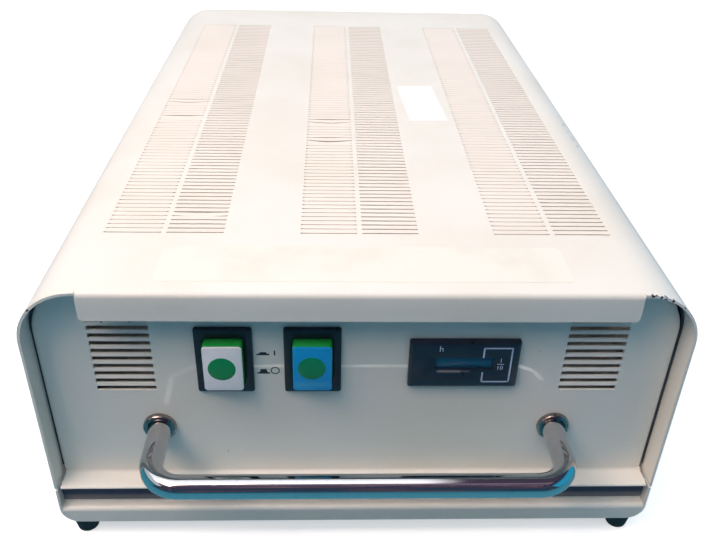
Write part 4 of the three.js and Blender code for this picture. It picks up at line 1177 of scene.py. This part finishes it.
def lampPieces(name, holder):
    low, high = nodeBox(name)
    y, z = (low[1] + high[1]) / 2, (low[2] + high[2]) / 2
    radius = lamps["radius"]
    baseX = high[0] - lamps["base"]
    dome = np.linspace(0, math.pi / 2 - 0.04, 9)
    stations = [(radius * math.cos(a), low[0] + radius - radius * math.sin(a)) for a in dome[::-1]]
    stations += [(radius, (low[0] + baseX) / 2), (radius, baseX + 0.6)]
    shells = [turned(stations, 0, y + side * lamps["spacing"] / 2, z, 40, toRight) for side in (-1, 1)]
    # the bridge flares where it is fused to the tubes
    flare = [(6.0, -4.2), (5.0, -2.6), (4.5, -1.2), (4.5, 1.2), (5.0, 2.6), (6.0, 4.2)]
    shells.append(turned(flare, low[0] + lamps["bridge"], y, z, 28))
    look = "lampBlue" if "blue" in name else "lampWhite"
    buildPiece(f"tubes_{name}", shells, look, "housing", [name])

    wide, tall = (high[1] - low[1]) / 2, (high[2] - low[2]) / 2
    end = high[0]
    base = stacked((wide, tall), [
        (1.4, 6, baseX), (0.4, 6.5, baseX + 0.5), (0, 7, baseX + 1.6), (0, 7, end - 9), (0.5, 7, end - 8.4),
        (3, 3, end - 8.2), (3, 3, end - 0.4), (3.4, 3, end)], 0, y, z, 6, toRight)
    buildPiece(f"base_{name}", [base], "holder", "housing", [name])

    low, high = nodeBox(holder)
    reach, thick = lamps["arm"]
    body = blockShell((low[0] + reach, low[1], low[2]), high)
    half = lamps["armHalf"]
    arms = [blockShell((low[0], y - half, z0), (low[0] + reach + 0.5, y + half, z0 + thick))
            for z0 in (z + tall + 0.3, z - tall - 0.3 - thick)]
    buildPiece(f"body_{holder}", [body, *arms], "holder", "housing", [holder], bevel=0.6)


for number, name in enumerate(lamps["names"], 1):
    lampPieces(name, f"lamp_holder_{number}")
print("lamps fitted:", len(lamps["names"]))


# Contacts of the mains inlet, and pan-head screws round the rear panel
rear = {
    "pins": [(-7, -2.6), (7, -2.6), (0, 3.6)],
    "pinHalf": (1.06, 2.06),
    "socketRise": 7.4,
    "socketFloor": 17,
    "pinEnd": 3,
    "head": [(3.3, 0.02), (3.3, 0.5), (3.0, 1.1), (2.3, 1.6), (1.5, 1.8), (1.2, 1.75), (1.0, 0.9),
             (0.2, 0.8)],
    "screws": [(-124, 125), (124, 125), (-131, 66), (131, 66), (-45, 134.5), (45, 134.5)],
}


def rearDetails():
    low, high = nodeBox("mains_inlet")
    x, z = (low[0] + high[0]) / 2, (low[2] + high[2]) / 2 + rear["socketRise"]
    tip = 0.06 - rear["pinEnd"]
    stations = [(0, 0.3, 0.05 - rear["socketFloor"]), (0, 0.3, tip - 0.7), (0.35, 0.3, tip)]
    shells = [stacked(rear["pinHalf"], stations, x + dx, high[1], z + dz, 3, toRear)
              for dx, dz in rear["pins"]]
    buildPiece("inletPins", shells, "steel", "housing")
    face = nodeBox("rear_panel")[1][1]
    shells = [turned(rear["head"], x, face, z, 28, toRear) for x, z in rear["screws"]]
    buildPiece("rearScrews", shells, "steel", "housing")


rearDetails()
print("rear contacts and screws set")


# Digits printed round the drums of the hour meter, zero in the window, the next one coming from above
digits = {"size": 3.4, "thick": 0.3, "sink": 0.1, "longest": 0.7}


def drumDigits(drum):
    low, high = nodeBox(drum)
    middle = (low + high) / 2
    radius = (high[2] - low[2]) / 2
    shells = []
    for digit in range(10):
        points, faces = letters(str(digit), digits["size"], 0, 0, 0, digits["thick"])
        work = bmesh.new()
        corners = [work.verts.new(point) for point in points]
        for face in faces:
            if len(set(face)) == len(face) and not work.faces.get([corners[i] for i in face]):
                work.faces.new([corners[i] for i in face])
        bmesh.ops.remove_doubles(work, verts=work.verts, dist=0.001)
        long = [edge for edge in work.edges if edge.calc_length() > digits["longest"]]
        bmesh.ops.subdivide_edges(work, edges=long, cuts=2)
        work.verts.index_update()
        points = np.array([vert.co for vert in work.verts])
        faces = [[vert.index for vert in face.verts] for face in work.faces]
        work.free()
        # across stays; up bends round the drum; the face's own depth lifts off it
        angle = math.pi - math.radians(36 * digit) - points[:, 2] / radius
        reach = radius - digits["sink"] + (panelY - points[:, 1])
        bent = np.stack([points[:, 0], reach * np.cos(angle), reach * np.sin(angle)], 1)
        shells.append((middle + bent, faces))
    buildPiece(f"digits_{drum}", shells, "print", drum)


for place in ("ten_thousands", "thousands", "hundreds", "tens", "units", "tenths"):
    drumDigits(f"drum_{place}")
print("drums numbered")


# Blank film where the top carries its notice, and a blank paper label further back
labels = {
    "film": {"x": (-85, 87), "y": (-1, 27), "corner": 2.5, "thick": 0.14},
    "paper": {"middle": (43.5, 205.4), "half": (11.5, 30.6), "turn": 3.5, "corner": 1.2, "thick": 0.12},
}


# A thin sheet with round corners, turned about the upright
def labelShell(half, corner, thick, x, y, turn=0.0):
    rings = rectRings(half, [(0, corner, 0.01), (0, corner, thick * 0.7), (0.02, corner, thick)], 6)
    angle = math.radians(turn)
    u, v = rings[..., 0], rings[..., 1]
    spun = [u * math.cos(angle) - v * math.sin(angle), u * math.sin(angle) + v * math.cos(angle)]
    return ringShell(toTop(np.stack([*spun, rings[..., 2]], -1), x, panelY + y, top))


def blankLabels():
    film, paper = labels["film"], labels["paper"]
    half = ((film["x"][1] - film["x"][0]) / 2, (film["y"][1] - film["y"][0]) / 2)
    middle = (sum(film["x"]) / 2, sum(film["y"]) / 2)
    shell = labelShell(half, film["corner"], film["thick"], *middle)
    buildPiece("filmLabel", [shell], "film", "housing")
    shell = labelShell(paper["half"], paper["corner"], paper["thick"], *paper["middle"], paper["turn"])
    buildPiece("paperLabel", [shell], "paper", "housing")


blankLabels()
print("labels laid")


# Finishes of the nodes shown as packed, by how their names start. The longest start that fits counts.
carried = {
    "rear_panel": "frame", "filter_pane": "pane", "pane_strip": "zinc", "gear_tray": "zinc",
    "hinge_pin": "steel", "magnet_catch": "black", "reflector": "mirror", "lamp_clip_rail": "holder",
    "terminal_block": "holder", "drum_": "drum", "drum_shaft": "steel", "white_switch_body": "black",
    "blue_switch_body": "black", "handle_screw": "steel", "mains_inlet": "black", "fuse_drawer": "black",
    "ballast": "steel",
}
for node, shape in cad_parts.items():
    starts = sorted((start for start in carried if node.startswith(start)), key=len)
    for materialSlot in shape.material_slots if starts else ():
        materialSlot.material = looks[carried[starts[-1]]]
print("packed nodes finished")


# Stage: a wide pale floor that rises into a wall far behind, white to the camera and in reflections,
# a muted blue where it lights the object
stage = {
    "flat": 2000,
    "sides": 64,
    "wall": 7000,
    "bend": 1500,
    "high": 6000,
    "bounce": (0.105, 0.235, 0.32, 1.0),
    "shown": (0.80, 0.80, 0.80, 1.0),
    "lift": 0.55,  # its own glow near the object, full from the second distance on, in metres
    "lifted": (1.6, 4.5),
}


# 1 for what the camera sees directly, in a reflection or through the pane, 0 for light on the object
def backgroundRay(graph):
    camera, glossy, through = [graph.add("LightPath", output=output) for output in (0, 3, 6)]
    return graph.most(graph.most(camera, glossy), through)


def makeFloor():
    bend, wall, sides = stage["bend"], stage["wall"], stage["sides"]
    stations = [(0.5, 0), (stage["flat"], 0), (wall - bend, 0)]
    stations += [(wall - bend + bend * math.sin(a), bend * (1 - math.cos(a))) for a in quarter(8)[1:]]
    rings = roundRings([*stations, (wall, stage["high"])], sides)
    faces = [face[::-1] for face in gridFaces(len(rings), sides, closeCols=True)] + [list(range(sides))]
    floor = newObject("floor", newMesh("floor", (rings.reshape(-1, 3) * mm).tolist(), faces))
    graph = newMaterial("floorPaper")
    bounce = graph.add("BsdfDiffuse", {"Color": stage["bounce"]})
    paper = graph.add("BsdfDiffuse", {"Color": stage["shown"]})
    x, y, _ = graph.axes()
    away = (x * x + y * y).ramp(*(reach**2 for reach in stage["lifted"])) * graph.add("LightPath")
    colour = graph.mix(away, (*[stage["lift"]] * 3, 1), (1, 1, 1, 1))
    shown = graph.add("AddShader", {0: paper, 1: graph.add("Emission", {"Color": colour, "Strength": 1.0})})
    above = graph.add("MixShader", {0: backgroundRay(graph), 1: bounce, 2: shown})
    # from underneath the floor is clear, so that the window frame shows when it hangs open
    below, clear = graph.add("NewGeometry", output=6), graph.add("BsdfTransparent")
    graph.end(graph.add("MixShader", {0: below, 1: above, 2: clear}))
    floor.data.materials.append(graph.owner)


makeFloor()


# Light: one warm soft panel above, in front and to the left, and weak ones behind and on the right.
# Radiance is what a mirror shows of the first.
lights = {
    "key": {"place": (-0.62, -0.48, 1.12), "aim": (0, 0.0, 0.1), "size": (0.8, 0.7),
            "radiance": (6.45, 4.75, 3.85)},
    "back": {"place": (0.5, 1.5, 0.7), "aim": (0, 0.2, 0.1), "size": (0.9, 0.9),
             "radiance": (1.2, 1.1, 1.0), "mirrored": False},
    "side": {"place": (1.3, 0.35, 0.62), "aim": (0.1, 0.05, 0.1), "size": (0.8, 0.6),
             "radiance": (1.9, 1.45, 1.3), "mirrored": False},
}


def softPanel(name, place, aim, size, radiance, mirrored=True):
    lamp = bpy.data.lights.new(name, "AREA")
    lamp.shape = "RECTANGLE"
    lamp.size, lamp.size_y = size
    brightest = max(radiance)
    lamp.energy = brightest * size[0] * size[1] * math.pi
    lamp.color = [value / brightest for value in radiance]
    carrier = newObject(name, lamp)
    carrier.location = place
    carrier.rotation_euler = (Vector(aim) - Vector(place)).to_track_quat("-Z", "Y").to_euler()
    carrier.visible_camera, carrier.visible_glossy = False, mirrored


for name, settings in lights.items():
    softPanel(name, **settings)


# Cards that only reflections see: the blue table in front, the dim room beyond, its dark ceiling, the
# lit one overhead that ends on the right, and a blue sheet on either side. Each runs from a near edge to
# a far one, (y, z) and shade, and the side ones are turned about the upright.
cards = {
    "tableCard": {"near": (0.60, 0.001), "far": (-0.80, 0.001), "fade": (0.83, 1.25),
                  "shades": ((0.075, 0.32, 0.44), (0.03, 0.145, 0.23))},
    "roomCard": {"near": (-0.80, 0.001), "far": (-1.50, 1.05), "fade": (0.0, 1.0),
                 "shades": ((0.022, 0.065, 0.115), (0.048, 0.05, 0.10)),
                 "patches": (210, (0.13, 0.075, 0.10))},
    "hoodCard": {"near": (-1.50, 1.05), "far": (-0.76, 1.35), "fade": (0.2, 0.75),
                 "shades": ((0.048, 0.05, 0.10), (0.24, 0.18, 0.26)),
                 "patches": (210, (0.30, 0.20, 0.26))},
    "lampCard": {"near": (-0.76, 1.35), "far": (0.5, 1.35), "fade": (0.3, 1.0),
                 "shades": ((1.9, 1.85, 1.9), (1.2, 1.25, 1.35)), "dusk": (0.16, 0.27, (0.07, 0.055, 0.09))},
    "rightCard": {"near": (-0.9, 0.0), "far": (-0.9, 1.1), "fade": (0.5, 0.75),
                  "shades": ((0.03, 0.40, 0.66), (0.04, 0.05, 0.10)), "turn": 90},
    "leftCard": {"near": (-1.59, 0.0), "far": (-1.59, 0.55), "fade": (0.1, 0.55),
                 "shades": ((0.05, 0.30, 0.42), (0.04, 0.20, 0.30)), "turn": -90},
}
cardHalf = 1.6  # half of their width in metres


def reflectionCard(name, near, far, shades, fade, dusk=None, patches=None, turn=0):
    corners = [(-cardHalf, *near), (cardHalf, *near), (cardHalf, *far), (-cardHalf, *far)]
    card = newObject(name, newMesh(name, corners, [(0, 1, 2, 3)]))
    graph = newMaterial(name)
    length = math.dist(near, far)
    away = [(b - a) / length for a, b in zip(near, far)]
    x, y, z = graph.axes()
    along = (y - near[0]) * away[0] + (z - near[1]) * away[1]
    shade = graph.mix(along.ramp(*fade), (*shades[0], 1), (*shades[1], 1))
    if patches:
        shade = graph.mix(graph.noise(patches[0], 3).ramp(0.5, 0.6), shade, (*patches[1], 1))
    if dusk:
        shade = graph.mix(x.ramp(*dusk[:2]), shade, (*dusk[2], 1))
    graph.end(graph.add("Emission", {"Color": shade, "Strength": 1.0}))
    card.data.materials.append(graph.owner)
    card.rotation_euler = (0, 0, math.radians(turn))
    for kind in ("camera", "diffuse", "shadow", "transmission"):
        setattr(card, f"visible_{kind}", False)


for name, settings in cards.items():
    reflectionCard(name, **settings)


# World: a bright ceiling over a dim, slightly violet room, and white where the camera sees it.
# Each stop is a height on the way from level to overhead, and the colour there.
roomStops = [(0.0, (0.09, 0.17, 0.24)), (0.45, (0.09, 0.15, 0.22)), (0.62, (0.12, 0.14, 0.20)),
             (0.72, (0.94, 1.10, 1.24)), (1.0, (1.02, 1.22, 1.42))]


def makeWorld():
    world = bpy.data.worlds.new("room")
    bpy.context.scene.world = world
    graph = Graph(world)
    height = graph.axes(graph.add("TexCoord"))[2]
    colour = graph.add("ValToRGB", {0: height}, stops=roomStops)
    shown = graph.mix(backgroundRay(graph), colour, (1, 1, 1, 1))
    graph.end(graph.add("Background", {"Color": shown, "Strength": 1.0}), "World")


makeWorld()
bpy.context.scene.view_settings.view_transform = "Standard"
print("stage and lights set")
